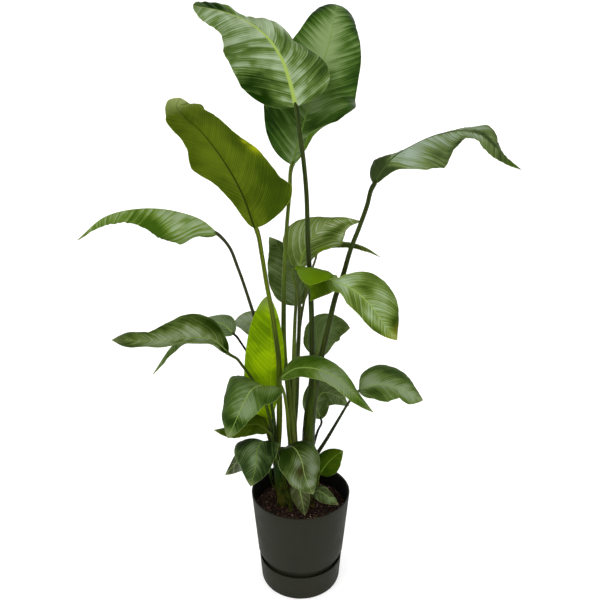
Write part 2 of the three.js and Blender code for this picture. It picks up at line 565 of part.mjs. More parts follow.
// sheath: points from the foot up, with a radius for each.
// stalks: points below the leaf's base down into the sheath, with end radii.
const SHOOTS = {
  shoot_right: {
    colour: STALK,
    sheath: [[22, 38, 195], [21, 30, 300], [21, 21, 386], [28, 15, 470], [32, 12, 520], [33, 10, 575]],
    sheathRadii: [17, 16.5, 15.5, 14, 12.5, 8],
    stalks: {
      leaf_top_left: {
        way: [[-4, -23, 1099], [3, -28, 1055], [12, -23, 971], [16, -12, 862], [24, -2, 722],
          [27, 8, 586], [28, 14, 480]],
        ends: [4.8, 7],
      },
      leaf_top_right: {
        way: [[145, -19, 939], [131, -17, 896], [111, -13, 840], [96, -8, 782], [81, -4, 735],
          [66, 2, 665], [47, 10, 570], [32, 14, 480]],
        ends: [5.4, 8],
      },
      leaf_low_right: {
        way: [[121, -8, 480], [94, 0, 427], [66, 8, 370], [44, 14, 328], [24, 24, 285]],
        ends: [3.2, 5.5],
      },
      leaf_dark_right_back: {
        way: [[35, 86, 514], [27, 62, 433], [21, 28, 345]],
        ends: [2.8, 5],
      },
      leaf_torn_back: {
        way: [[46, 76, 357], [35, 56, 330], [22, 30, 290]],
        ends: [2.8, 4.5],
      },
    },
  },
  shoot_middle: {
    colour: PALE_STALK,
    sheath: [[-16, 26, 195], [-18, 22, 300], [-21, 16, 400], [-25, 10, 480], [-30, 7, 540]],
    sheathRadii: [14, 13, 12, 9, 6],
    stalks: {
      leaf_top_back: {
        way: [[-24, 22, 971], [-31, 16, 893], [-36, 10, 814], [-39, 6, 721], [-38, 6, 587],
          [-29, 8, 490], [-22, 14, 400]],
        ends: [4.8, 7],
      },
      leaf_mid_right: {
        way: [[-10, -28, 752], [-13, -18, 679], [-16, -6, 591], [-17, 2, 512], [-20, 14, 400]],
        ends: [3.6, 6],
      },
      leaf_centre_back: {
        way: [[-4, 54, 710], [-6, 44, 587], [-10, 32, 460], [-18, 20, 350]],
        ends: [3.4, 6],
      },
      leaf_dark_left_back: {
        way: [[-2, 84, 626], [-7, 64, 527], [-12, 44, 428], [-17, 22, 330]],
        ends: [3.2, 5],
      },
      leaf_narrow_back: {
        way: [[38, 110, 805], [26, 104, 771], [8, 88, 695], [-5, 72, 617], [-14, 46, 507],
          [-19, 18, 370]],
        ends: [2.8, 5],
      },
      leaf_front_arch: {
        way: [[-44, -50, 530], [-34, -36, 477], [-29, -14, 397], [-22, 18, 320]],
        ends: [3.4, 5],
      },
    },
  },
  shoot_left: {
    colour: STALK,
    sheath: [[-46, 6, 195], [-52, 2, 260], [-58, -4, 330], [-60, -10, 400]],
    sheathRadii: [13, 13, 12, 8],
    stalks: {
      leaf_upper_left: {
        way: [[-83, -66, 835], [-74, -56, 768], [-66, -54, 722], [-56, -47, 649], [-50, -42, 587],
          [-50, -35, 523], [-50, -28, 460], [-52, -18, 401], [-58, -6, 330]],
        ends: [4.8, 7.4],
      },
      leaf_far_left: {
        way: [[-159, -34, 853], [-140, -24, 801], [-121, -6, 732], [-101, 10, 650], [-82, 16, 548],
          [-69, 10, 430], [-58, -2, 330]],
        ends: [3.8, 6],
      },
      leaf_left_front: {
        way: [[-144, -71, 606], [-130, -66, 585], [-107, -56, 545], [-85, -42, 493], [-71, -26, 422],
          [-58, -6, 325]],
        ends: [3.4, 5],
      },
      leaf_left_back: {
        way: [[-144, 6, 621], [-128, 10, 593], [-106, 15, 535], [-86, 14, 457], [-70, 6, 365],
          [-56, -2, 310]],
        ends: [2.8, 5],
      },
      leaf_left_hidden: {
        way: [[-79, 62, 590], [-76, 46, 530], [-68, 28, 440], [-60, 8, 350], [-55, 0, 295]],
        ends: [2.6, 4.4],
      },
      leaf_young_lime: {
        way: [[-75, -13, 375], [-68, -9, 333], [-56, -2, 290]],
        ends: [4.2, 6],
      },
      leaf_low_left: {
        way: [[-67, -64, 500], [-62, -46, 444], [-60, -24, 370], [-56, -3, 300]],
        ends: [3.4, 5],
      },
      leaf_curled_left: {
        way: [[-68, -38, 394], [-62, -22, 345], [-54, -1, 285]],
        ends: [2.6, 4],
      },
    },
  },
  shoot_low_left: {
    colour: STALK,
    sheath: [[-60, 34, 195], [-70, 18, 240], [-77, 4, 275]],
    sheathRadii: [5, 5, 4],
    stalks: {
      leaf_low_left_small: {
        way: [[-76, -36, 346], [-76, -16, 312], [-73, 12, 254]],
        ends: [2.8, 4],
      },
      leaf_small_left: {
        way: [[-86, -14, 322], [-81, -6, 298], [-71, 16, 246]],
        ends: [2.4, 3.4],
      },
    },
  },
  shoot_front: {
    colour: PALE_STALK,
    sheath: [[-24, -22, 195], [-28, -26, 220], [-34, -30, 250]],
    sheathRadii: [6, 5.5, 4.5],
    stalks: {
      leaf_low_front: {
        way: [[-46, -38, 341], [-42, -33, 293], [-30, -27, 230]],
        ends: [3, 4],
      },
      leaf_pot_front: {
        way: [[-15, -23, 246], [-19, -23, 228], [-26, -24, 208]],
        ends: [2.2, 3],
      },
    },
  },
  shoot_young: {
    colour: PALE_STALK,
    sheath: [[30, -8, 195], [32, -6, 215]],
    sheathRadii: [5.5, 4.5],
    stalks: {
      leaf_pot_right: {
        way: [[26, -12, 222], [28, -10, 205]],
        ends: [2, 3],
      },
      leaf_pot_bright: {
        way: [[44, 10, 246], [38, 2, 228], [30, -7, 204]],
        ends: [2.4, 3.4],
      },
    },
  },
};

const STALK_STEP = 34;

// A stalk's rings, from just under the blade's base down into the sheath.
function stalk(name, { way, ends }) {
  const rib = LEAVES[name].rib.map(vec);
  const back = direction(smoothCurve(rib), 0);
  const start = rib[0].clone().addScaledVector(back, -GAP - 0.1);
  const points = [start, start.clone().addScaledVector(back, -6), ...way.map(vec)];
  const curve = smoothCurve(points);
  let long = 0;
  for (let i = 1; i < points.length; i++) long += points[i].distanceTo(points[i - 1]);
  const count = Math.max(3, Math.round(long / STALK_STEP));
  const rings = [points[0], points[1]];
  for (let i = 1; i <= count; i++) rings.push(curve(Math.min(1, 6 / long + (1 - 6 / long) * (i / count))));
  const radii = rings.map((p, i) => ends[0] + ((ends[1] - ends[0]) * i) / (rings.length - 1));
  return bar(rings.reverse(), radii.reverse(), STALK_SIDES);
}

const holes = [];
for (const [name, shoot] of Object.entries(SHOOTS)) {
  const rings = shoot.sheath.map(vec);
  const radii = shoot.sheathRadii.slice();
  const foot = rings[0].clone();
  foot.z = SOIL_HEIGHT - STEM_DEPTH;
  rings.unshift(foot);
  radii.unshift(radii[0]);
  let solid = toSolid(bar(rings, radii, SHEATH_SIDES));
  for (const [leaf, way] of Object.entries(shoot.stalks)) {
    solid = solid.add(toSolid(stalk(leaf, way)));
  }
  addMesh(name, toGeometry(solid), shoot.colour, 0.55);
  const bottom = foot.clone();
  bottom.z -= GAP;
  const top = foot.clone();
  top.z = SOIL_HEIGHT + 30;
  const hole = radii[0] + GAP + 0.05 * radii[0];
  holes.push(bar([bottom, top], [hole, hole], 16));
}

// Planter

const wallInside = (z) => {
  const f = (z - SKIRT_EDGE_HEIGHT) / (PLANTER_HEIGHT - SKIRT_EDGE_HEIGHT);
  return SKIRT_EDGE_RADIUS - WALL + (RIM_RADIUS - SKIRT_EDGE_RADIUS) * f;
};
const POT_FOOT_HEIGHT = FLOOR + GAP;
const POT_FOOT_RADIUS = 93;
const POT_WAIST_RADIUS = 98.6;
const POT_WAIST_HEIGHT = 86;

addMesh("planter", turned([
  [0, POT_FOOT_HEIGHT],
  [POT_FOOT_RADIUS - 3, POT_FOOT_HEIGHT],
  [POT_FOOT_RADIUS, POT_FOOT_HEIGHT + 3],
  [POT_WAIST_RADIUS, POT_WAIST_HEIGHT],
  [SKIRT_EDGE_RADIUS - 2.6, POT_WAIST_HEIGHT],
  [SKIRT_EDGE_RADIUS - 2.6, SKIRT_EDGE_HEIGHT],
  [SKIRT_EDGE_RADIUS - 0.8, SKIRT_EDGE_HEIGHT],
  [SKIRT_EDGE_RADIUS, SKIRT_EDGE_HEIGHT + 1],
  [RIM_RADIUS, PLANTER_HEIGHT - 1],
  [RIM_RADIUS - 1, PLANTER_HEIGHT],
  [RIM_RADIUS - WALL, PLANTER_HEIGHT],
  [wallInside(POT_WAIST_HEIGHT + 6), POT_WAIST_HEIGHT + 6],
  [POT_WAIST_RADIUS - WALL, POT_WAIST_HEIGHT],
  [POT_FOOT_RADIUS - WALL, POT_FOOT_HEIGHT + 4],
  [0, POT_FOOT_HEIGHT + 4],
], ROUND_SIDES), PLASTIC, 0.6);

const baseSlope = (BASE_RIM_RADIUS - BASE_RADIUS) / BASE_HEIGHT;
addMesh("water_base", turned([
  [0, 0],
  [BASE_RADIUS - 2, 0],
  [BASE_RADIUS - 0.4, 1.2],
  [BASE_RADIUS + 3 * baseSlope, 3],
  [BASE_RIM_RADIUS, BASE_HEIGHT - 0.8],
  [BASE_RIM_RADIUS - 0.8, BASE_HEIGHT],
  [BASE_RIM_RADIUS - BASE_WALL, BASE_HEIGHT],
  [BASE_RADIUS - BASE_WALL + FLOOR * baseSlope, FLOOR],
  [0, FLOOR],
], ROUND_SIDES), PLASTIC, 0.6);

// Soil

const SOIL_RINGS = 6;
const SOIL_SECTORS = 36;
const soilTop = (x, y) => SOIL_HEIGHT
  + SOIL_UNEVEN * (Math.sin(x / 23 + 1) * Math.cos(y / 19) + 0.4 * Math.sin((x - y) / 11));

// The soil fills the planter up to a lightly uneven surface.
function soilBody() {
  const side = [
    [POT_FOOT_RADIUS - WALL - GAP - 0.5, POT_FOOT_HEIGHT + 4 + GAP],
    [POT_WAIST_RADIUS - WALL - GAP - 1.8, POT_WAIST_HEIGHT],
    [wallInside(POT_WAIST_HEIGHT + 6) - GAP - 1, POT_WAIST_HEIGHT + 9],
  ];
  const edge = wallInside(SOIL_HEIGHT - 4) - GAP - 0.5;
  const points = [new THREE.Vector3(0, 0, side[0][1])];
  const faces = [];
  const ringAt = (r, height) => {
    for (let k = 0; k < SOIL_SECTORS; k++) {
      const turn = (2 * Math.PI * k) / SOIL_SECTORS;
      const x = r * Math.cos(turn);
      const y = r * Math.sin(turn);
      points.push(new THREE.Vector3(x, y, height(x, y)));
    }
  };
  for (const [r, z] of side) ringAt(r, () => z);
  for (let i = SOIL_RINGS; i > 0; i--) ringAt((edge * i) / SOIL_RINGS, soilTop);
  points.push(new THREE.Vector3(0, 0, soilTop(0, 0)));
  const ring = (i, k) => 1 + i * SOIL_SECTORS + (k % SOIL_SECTORS);
  const levels = side.length + SOIL_RINGS;
  for (let k = 0; k < SOIL_SECTORS; k++) {
    faces.push([0, ring(0, k + 1), ring(0, k)]);
    for (let i = 0; i + 1 < levels; i++) {
      faces.push([ring(i, k), ring(i, k + 1), ring(i + 1, k + 1)]);
      faces.push([ring(i, k), ring(i + 1, k + 1), ring(i + 1, k)]);
    }
    faces.push([ring(levels - 1, k), ring(levels - 1, k + 1), points.length - 1]);
  }
  return fromFaces(points, faces);
}

let soil = toSolid(soilBody());
for (const hole of holes) soil = soil.subtract(toSolid(hole));
addMesh("soil", toGeometry(soil), SOIL, 0.95);

export default part;
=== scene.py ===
import math

import bpy
import numpy as np
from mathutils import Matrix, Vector


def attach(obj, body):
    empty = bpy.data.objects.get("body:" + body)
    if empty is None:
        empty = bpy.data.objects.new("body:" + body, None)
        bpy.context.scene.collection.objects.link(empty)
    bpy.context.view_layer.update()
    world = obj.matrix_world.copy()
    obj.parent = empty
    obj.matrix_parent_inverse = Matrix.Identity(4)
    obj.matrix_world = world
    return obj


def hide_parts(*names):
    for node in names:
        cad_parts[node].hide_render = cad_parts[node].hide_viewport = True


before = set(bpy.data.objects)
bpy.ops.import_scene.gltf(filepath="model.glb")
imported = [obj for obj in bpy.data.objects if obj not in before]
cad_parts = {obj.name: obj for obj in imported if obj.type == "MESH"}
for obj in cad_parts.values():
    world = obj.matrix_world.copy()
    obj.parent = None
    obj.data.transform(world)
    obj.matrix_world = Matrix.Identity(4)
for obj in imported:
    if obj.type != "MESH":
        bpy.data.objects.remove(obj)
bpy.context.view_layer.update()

# Lengths are in millimetres here, and MM turns them into metres as a mesh is made.
MM = 0.001
DEG = math.pi / 180

CAMERA_AT = (-1.5, -1131, 971)
CAMERA_DOWN = 12.4
CAMERA_LENS = 30
CAMERA_SENSOR = 36

WORLD_LIGHT = 0.3
# Each light, in metres: its place, its aim, its width and its power. A large key high on the left
# in front, a weaker fill on the right, one behind and above.
LIGHTS = {
    "key": ((-1.7, -1.7, 2.9), (0, 0, 0.8), 1.5, 26),
    "fill": ((2.3, -1.5, 1.6), (0, 0, 0.7), 1.6, 5),
    "back": ((0.8, 1.9, 2.8), (0, 0, 0.8), 1.4, 9),
}

STAGE_RADIUS = 3400
STAGE_CURVE = 900
STAGE_HEIGHT = 4600
STAGE_SIDES = 96
STAGE_PALES = ((0.80, 0.80, 0.80, 1), (0.81, 0.81, 0.81, 1))
STAGE_GLOW = 0.42

# Planter and water base, as in the CAD.
RIM_RADIUS = 123
PLANTER_HEIGHT = 235
SKIRT_EDGE_RADIUS = 107.8
SKIRT_EDGE_HEIGHT = 80
SKIRT_THICK = 2.6
WALL = 3
POT_FOOT_RADIUS = 93
POT_FOOT_HEIGHT = 3.3
POT_WAIST_RADIUS = 98.6
POT_WAIST_HEIGHT = 86
BASE_RADIUS = 100
BASE_RIM_RADIUS = 105
BASE_HEIGHT = 62
BASE_WALL = 2.6
FLOOR = 3
TURNED_SIDES = 160

SOIL_HEIGHT = 188
SOIL_UNEVEN = 3
SOIL_RINGS = 64
SOIL_SIDES = 150
CRUMBS = 3200
CRUMB_SIZES = (0.9, 3.6)
PERLITE = 150
PERLITE_SIZES = (0.6, 1.9)
SEED = 11

# The stalks' channels look to the upright line through this point.
MIDDLE = (0, 20, 0)
STALK_SIDES = 20
STALK_END = 9
SWELL_UNDER = 14
SWELL_LONG = 9
SHEATH_SIDES = 48
SHEATH_EDGES = 3
# An edge moves on to the place of the next one over this height.
SHEATH_TWIST = 900

BLADE_THICK = 1.2
EDGE_THICK = 0.5
# The midrib at the blade's base: a keel below and a low band above, each with its half width.
KEEL_THICK = 4.5
KEEL_HALF = 5.2
BAND_THICK = 0.9
BAND_HALF = 4.6
VEIN_SLANT = 1.0
USUAL_CURL = -20
# How uneven a blade's edge is, as a part of its width.
RAGGED = 0.012

# In metres: from one side vein to the next, one hair line to the next, and the same for the
# streaks and the fibres around a stalk, and the heights between which a foot's brown fades.
VEIN_STEP = 0.0052
HAIR_STEP = 0.0024
STREAK_STEP = 0.0022
FIBRE_STEP = 0.0009
STALK_FOOT_SPAN = (0.19, 0.30)

# Colours of what isn't leaf, 0 to 255.
STALK_MOTTLE = (74, 66, 30)
STALK_FOOT = (108, 104, 44)
PLASTIC = (29, 30, 21)
PLASTIC_CLOUD = (34, 35, 25)
PLASTIC_SPECK = (46, 47, 36)
# Painted shade: the planter's inside is nearly black, standing in for the shade that fills it.
PLASTIC_INSIDE_SHADE = (4, 4, 3)
SOIL = (18, 11, 8)
SOIL_CLOUD = (54, 34, 25)
SOIL_SPECK = (74, 50, 38)
CRUMB_WET = (12, 8, 6)
CRUMB_BARK = (122, 88, 64)
PERLITE_PALE = (206, 196, 186)
PERLITE_WHITE = (236, 230, 224)
PERLITE_STAIN = (140, 104, 88)

# The blades. rib holds the midrib's points from the base on, face the way that the upper side
# looks at evenly spaced places along it, half the widest half on the left and on the right, and
# blunt and point shape the outline. The next five are evenly spaced along the rib too: fold and
# curl in degrees, how far a half stands up at the rib and how it bends on from there, reach its
# width against the outline's, lean how far it sweeps ahead, tone how much lighter it is, partly the
# blade's own tone and partly painted light and shade. Of these a list is for both halves, a pair has
# the left and the right, and a number holds all along. wave is the height, count and start of the
# edge's waves, pleats and ruffle are height and spacing, slant is how far the side veins run ahead
# on their way out, rib_scale the size of the midrib. sheen makes soft places lighter or darker,
# partly a painted sheen and painted shade and partly the blade's own paler and darker places, and
# spots gives them the spot's colour, each with its place along and across, its length and its
# width, and the sheen's amount.
LEAVES = {
    "top_left": dict(
        rib=[[-10, -15, 1142], [-23, -6, 1193], [-41, 0, 1241], [-68, -4, 1278], [-105, -18, 1303],
            [-155, -50, 1313], [-203, -90, 1310]],
        half=[112, 100], curl=([-15, -15, -20, -30, -30], [-15, -20, -20, -5, 0]),
        lean=([0, 0.2, 0.5, 1.1, 1], 0), blunt=0.35, point=0.7, wave=[4, 4, 0], slant=0.45,
        pleats=(1.6, 25),
        face=[[0, -1, 0.15], [0.1, -0.95, 0.35], [0, -0.7, 0.7], [-0.1, -0.45, 0.85]],
        fold=([10, 8, 5, 2, 0, -3, -8, -15, -20], [10, 8, 2, -10, -4, 4, 15, 25, 30]),
        reach=([0.92, 0.97, 1, 0.99, 0.98, 0.93, 0.88, 0.82, 0.76, 0.66, 0.57, 0.5, 0.52, 0.57, 0.57, 0.5,
            0.5], [1, 1.03, 1.06, 1.05, 0.95, 0.85, 0.74, 0.77, 0.7, 0.49, 0.33, 0.32, 0.44, 0.52, 0.59,
            0.65, 0.8]),
        tone=([-0.25, -0.22, 0, 0.12, 0.15, 0.1, 0.1], [-0.04, -0.04, -0.03, 0.03, 0.05, -0.2, -0.2]),
        sheen=[(0.38, 0.5, 0.06, 0.5, -0.15), (0.55, 0.5, 0.1, 0.5, 0.12), (0.05, -0.4, 0.05, 0.2, 0.2),
            (0.1, -0.8, 0.1, 0.4, -0.2), (0.85, 0.5, 0.1, 0.35, -0.35)]),
    "top_back": dict(
        rib=[[-19, 28, 1026], [10, 48, 1128], [39, 84, 1219], [67, 118, 1307], [80, 148, 1373],
            [89, 186, 1402], [98, 232, 1397]],
        face=[[0.1, -1, 0.1], [0.1, -0.9, 0.4], [0.3, -0.1, 1]], half=[108, 92],
        lean=(0, [0, -0.4, -0.1, 0, 0]), fold=([8, 10, 8, 0], [10, 12, 12, 0]),
        curl=(-20, [60, 65, 25, -20, -20, -20, -20, -20]),
        reach=([1, 1, 1, 0.88, 1], [0.75, 1.15, 1.07, 1.07, 1.4]), wave=[3, 3, 1], slant=0.7,
        pleats=(0.9, 17),
        tone=([0, -0.05, -0.05, 0.1, 0.05, -0.2, -0.3], [-0.1, -0.05, -0.05, 0, 0, -0.2, -0.3]),
        sheen=[(0.62, -0.1, 0.12, 0.45, 0.12), (0.2, 0.2, 0.1, 0.4, -0.2), (0.45, 0.15, 0.08, 0.25, -0.25),
            (0.12, -0.5, 0.1, 0.5, -0.15), (0.95, 0, 0.08, 1.5, -0.2)]),
    "upper_left": dict(
        rib=[[-94, -72, 893], [-118, -85, 965], [-154, -105, 1033], [-189, -135, 1081], [-214, -165, 1105],
            [-223, -182, 1120], [-213, -196, 1129]],
        half=[100, 84], fold=([12, 6, 0], [22, 10, 0]), curl=([-15, -10, -10], [-25, -15, -10]),
        blunt=0.42, point=0.6, wave=[3, 3, 0], slant=0.8, pleats=(0.5, 12), ruffle=(0.4, 60),
        spots=[(0.45, -0.97, 0.04, 0.14), (0.52, -0.93, 0.02, 0.08)],
        face=[[0.6, 0.8, 0.1], [0.45, 0.8, 0.4], [0.2, 0.7, 0.7], [0, 0.3, 0.95]],
        reach=([1.15, 1.45, 1.54, 1.48, 1.19, 1.05, 0.95, 0.88, 0.81, 0.75, 0.72, 0.7, 0.74, 0.86, 1.0,
            1.42, 1.4], [0.54, 0.47, 0.44, 0.48, 0.57, 0.66, 0.75, 0.88, 0.96, 0.89, 0.77, 0.74, 0.72,
            0.74, 0.81, 0.57, 0.8]),
        sheen=[(0.3, 0.25, 0.3, 0.25, 0.1), (0.7, 0.3, 0.2, 0.3, 0.1), (0.5, -0.35, 0.3, 0.2, 0.1),
            (0.3, -0.8, 0.3, 0.35, -0.25), (0.99, 0, 0.06, 1.5, 0.7)]),
    "far_left": dict(
        rib=[[-180, -40, 878], [-208, -45, 904], [-262, -50, 925], [-339, -60, 932], [-408, -75, 916],
            [-463, -90, 870]],
        face=[[0, -0.3, 1], [0, -0.3, 1], [-0.5, -0.3, 0.8]], half=[78, 75], curl=([-60, -40, -30], -30),
        wave=[4, 3, 2], slant=0.9, pleats=(1.4, 20),
        fold=([-25, -28, -30, -35, -38, -40], [-80, -40, -30, -30, -32, -35]),
        reach=([0.6, 0.98, 1.06, 1.03, 0.86, 0.57, 0.5, 0.45, 0.32, 0.3, 0.5], [0.7, 0.7, 0.8, 0.8, 0.7,
            0.5, 0.45, 0.4, 0.3, 0.3, 0.5]),
        sheen=[(0.15, -0.5, 0.1, 0.6, 0.15), (0.42, -0.8, 0.14, 0.35, -0.4), (0.33, -0.3, 0.1, 0.25, 0.25),
            (0.55, -0.5, 0.08, 0.3, -0.2), (0.8, -0.4, 0.15, 0.6, 0.05)]),
    "left_front": dict(
        rib=[[-161, -75, 619], [-191, -85, 652], [-239, -95, 659], [-300, -110, 657], [-392, -135, 667]],
        face=[[0, -0.5, 0.85], [0, -0.6, 0.8], [0, -0.5, 0.85]], half=[48, 72],
        fold=([10, 10, 5], [40, 24, 5]), curl=([30, 30, 10], -20), wave=[3, 3, 0], slant=1.2,
        pleats=(0.9, 9),
        reach=([1, 1, 1, 1, 1, 1, 1, 1, 1.35, 1.7, 1.6], [0.4, 0.45, 0.78, 0.85, 0.86, 0.78, 0.68, 0.51,
            0.83, 1.22, 1.3]),
        sheen=[(0.22, 0.6, 0.08, 0.3, -0.35), (0.35, 0.3, 0.12, 0.3, 0.15), (0.5, 0.7, 0.1, 0.4, -0.1),
            (0.7, 0, 0.15, 0.8, 0.15), (0.95, 0, 0.08, 1.5, -0.3), (0.03, 0, 0.05, 1.5, -0.4)]),
    "left_back": dict(
        rib=[[-157, 4, 639], [-186, 14, 661], [-241, 26, 658], [-310, 24, 603], [-358, 16, 535]],
        half=[42, 42], fold=([30, -10, -20], [10, -10, -20]), pleats=(0.6, 8),
        face=[[-0.5, -0.5, 0.7], [-0.3, -0.4, 0.9], [-0.8, -0.3, 0.5]],
        reach=([1, 1.1, 1.04, 0.56, 0.54, 0.75], [1, 0.95, 0.8, 0.4, 0.36, 0.6])),
    "young_lime": dict(
        rib=[[-80, -13, 408], [-74, -17, 492], [-68, -16, 579], [-69, -10, 663], [-75, -2, 732]],
        face=[[0, -1, 0.1], [-0.1, -1, 0.1], [-0.2, -1, 0.2]], half=[62, 30], fold=[40, 12, 10],
        curl=[-20, -15, 0], reach=([1.1, 1.1, 1.05, 1, 0.9], [0.6, 0.8, 1, 1, 1]), blunt=0.55, point=0.6),
    "low_left": dict(
        rib=[[-69, -72, 523], [-85, -98, 551], [-105, -122, 551], [-123, -142, 525], [-138, -160, 493],
            [-152, -174, 465]],
        half=[72, 76], fold=([20, 5, 0, 0], [30, 10, 5, 0]), curl=[-25, -25, -20],
        lean=(0, [0, -0.4, -0.4, 0, 0]), wave=[2, 3, 0], pleats=(0.7, 8), spots=[(0.2, 0, 0.1, 0.4)],
        face=[[0, 0.4, 0.9], [-0.3, -0.6, 0.7], [-0.4, -0.8, 0.4], [-0.4, -0.85, 0.3]],
        reach=([0.8, 0.9, 0.7, 0.6, 0.55, 0.56, 0.7], [0.8, 1.1, 1.08, 1.2, 1.04, 1.2, 1.04]),
        sheen=[(0.62, -0.5, 0.13, 0.6, 0.35), (0.8, 0, 0.06, 1.3, -0.35), (0.4, 0.6, 0.15, 0.5, -0.1),
            (0.36, -0.5, 0.1, 0.5, -0.15), (0.94, 0, 0.05, 1.5, 0.2)]),
    "low_left_small": dict(
        rib=[[-79, -46, 366], [-89, -66, 400], [-99, -84, 391], [-102, -100, 358], [-113, -116, 316]],
        face=[[0, 0.7, 0.6], [-0.1, -0.7, 0.7], [-0.1, -1, 0.2]], half=[48, 66],
        fold=([24, 5, 0], [30, 5, 0]), curl=[-30, -25, -20], rib_scale=0.7, slant=1.2, pleats=(0.6, 8),
        sheen=[(0.55, 0.1, 0.2, 0.35, 0.3), (0.35, 0.6, 0.12, 0.4, -0.3), (0.35, -0.6, 0.2, 0.4, -0.2),
            (0.85, 0.4, 0.1, 0.4, 0.1), (0.7, 0.95, 0.3, 0.1, 0.3)]),
    "low_front": dict(
        rib=[[-40, -40, 369], [-16, -62, 381], [1, -85, 364], [10, -105, 333], [28, -120, 299]],
        face=[[-0.2, 0.3, 0.9], [0.3, -0.7, 0.7], [0.2, -1, 0.2]], half=[56, 56], fold=[30, 8, 0],
        curl=[-30, -25, -20], rib_scale=0.7, slant=1.2, pleats=(0.7, 9), spots=[(0.62, 0.15, 0.09, 0.3)],
        sheen=[(0.45, 0.25, 0.14, 0.2, 0.3), (0.75, 0.7, 0.15, 0.25, 0.35), (0.6, -0.5, 0.2, 0.35, 0.35),
            (0.84, -0.2, 0.05, 0.5, 0.5), (0.2, -0.4, 0.15, 0.6, -0.4), (0.25, 0.6, 0.15, 0.4, -0.15),
            (0.95, 0, 0.04, 1.5, -0.5)]),
    "pot_front": dict(
        rib=[[-11, -25, 264], [-4, -45, 268], [3, -60, 243], [10, -75, 212]],
        face=[[0, -0.4, 1], [0, -0.8, 0.6], [0, -1, 0.2]], half=[24, 24], fold=[20, 5, 0], rib_scale=0.4),
    "pot_right": dict(
        rib=[[28, -15, 232], [43, -25, 244], [67, -40, 238], [91, -55, 227]],
        face=[[0, -0.3, 1], [0.2, -0.5, 0.9], [0.3, -0.6, 0.7]], half=[22, 22], fold=[20, 5, 0],
        rib_scale=0.4),
    "pot_bright": dict(
        rib=[[49, 15, 266], [64, 12, 293], [84, 8, 318], [106, 4, 337]],
        face=[[0, -0.8, 0.6], [-0.1, -0.8, 0.6], [0, -0.7, 0.7]], half=[32, 32], fold=[20, 5, 0],
        rib_scale=0.4),
    "front_arch": dict(
        rib=[[-47, -52, 549], [-10, -68, 579], [32, -84, 585], [79, -105, 572], [121, -130, 538],
            [153, -148, 512]],
        face=[[0, -0.5, 0.9], [0.1, -0.65, 0.75], [0.5, -0.5, 0.7]], half=[42, 42],
        fold=([20, 12, -5], [20, 0, -5]), curl=([-25, -25, -20], [-30, -30, -20]),
        reach=([1, 1.05, 0.92, 0.78, 1], [0.6, 0.55, 0.55, 0.7, 1]), pleats=(0.6, 8),
        sheen=[(0.6, 0.3, 0.16, 0.8, 0.25), (0.22, 0, 0.15, 1, -0.15), (0.35, -0.7, 0.1, 0.3, -0.25),
            (0.9, 0.2, 0.06, 0.8, -0.15)]),
    "low_right": dict(
        rib=[[140, -10, 502], [158, -14, 514], [187, -22, 523], [225, -35, 520], [282, -55, 498]],
        face=[[0, -0.4, 1], [0.1, -0.5, 0.85], [0.3, -0.5, 0.8]], half=[66, 56],
        fold=([25, 14, 0], [25, 5, 0]), slant=1.2, pleats=(0.7, 8),
        reach=([1, 1.04, 1.04, 1.02, 1.12, 1.1, 1.2], [1, 0.82, 0.82, 0.78, 0.52, 1.05, 1.2]),
        sheen=[(0.25, 0.55, 0.12, 0.25, -0.25), (0.45, -0.65, 0.25, 0.25, -0.25),
            (0.75, 0.4, 0.18, 0.4, 0.2), (0.4, 0, 0.5, 0.15, 0.15), (0.15, -0.3, 0.1, 0.3, 0.15)]),
    "mid_right": dict(
        rib=[[-8, -34, 802], [29, -54, 799], [70, -70, 780], [109, -84, 765], [147, -98, 733],
            [176, -110, 695], [203, -120, 662]],
        half=[84, 54], slant=1.3, pleats=(1.0, 12),
        # The spots at the rolled base paint a lime glow of light there.
        spots=[(0.12, 0.4, 0.12, 0.6), (0.12, -0.7, 0.12, 0.4)],
        face=[[-0.2, -0.9, 0.1], [0.1, -0.9, 0.45], [0.2, -0.9, 0.4], [0.3, -0.9, 0.3]],
        fold=([60, 60, 60, 50, 10, 10, 10, 8, 5, 2, 0], [10, 10, 10, 10, 10, 8, 5, 5, 3, 0, 0]),
        curl=([65, 65, 65, 60, -10, -20, -20, -20, -20, -20, -20], [-30, -30, -30, -30, -25, -20, -20, -20,
            -20, -20, -20]),
        reach=([0.5, 0.7, 0.9, 1.05, 1.15, 1.05, 0.6, 0.15, 0.33, 0.55, 0.78, 0.88, 0.98, 1.06, 1.14, 1.22,
            1.3, 1.36, 1.41, 1.3, 1.2], [1.3, 1.4, 1.5, 1.46, 1.4, 1.1, 0.75, 0.4, 0.36, 0.5, 0.64, 0.68,
            0.71, 0.78, 0.85, 0.94, 1.02, 1.09, 1.16, 1.22, 1.3]),
        sheen=[(0.38, 0, 0.08, 1, 0.25), (0.55, 0.5, 0.1, 0.4, -0.15), (0.72, 0.5, 0.1, 0.25, 0.2),
            (0.55, -0.3, 0.08, 0.2, -0.25), (0.68, -0.5, 0.12, 0.35, 0.2), (0.9, -0.7, 0.06, 0.4, -0.45),
            (0.85, 0.9, 0.1, 0.3, -0.2), (0.2, 0.6, 0.12, 0.5, -0.5)]),
    "centre_back": dict(
        rib=[[-4, 58, 783], [6, 62, 821], [27, 64, 859], [58, 60, 893], [99, 50, 907], [142, 36, 900]],
        face=[[-0.1, -1, 0.2], [-0.2, -0.8, 0.5], [0.1, -0.6, 0.8]], half=[64, 64],
        fold=([22, 10, -20], [22, 10, -10]), curl=[-20, -30, -30], slant=1.6, pleats=(0.8, 9),
        spots=[(0.32, 0.9, 0.08, 0.2)],
        reach=([0.75, 0.85, 1.1, 1.2, 1.1, 0.85, 0.5, 0.3, 0.2, 0.2, 0.5], [0.3, 0.5, 0.5, 0.6, 0.85, 1.1,
            1.2, 1.3, 1.12, 0.8, 0.5]),
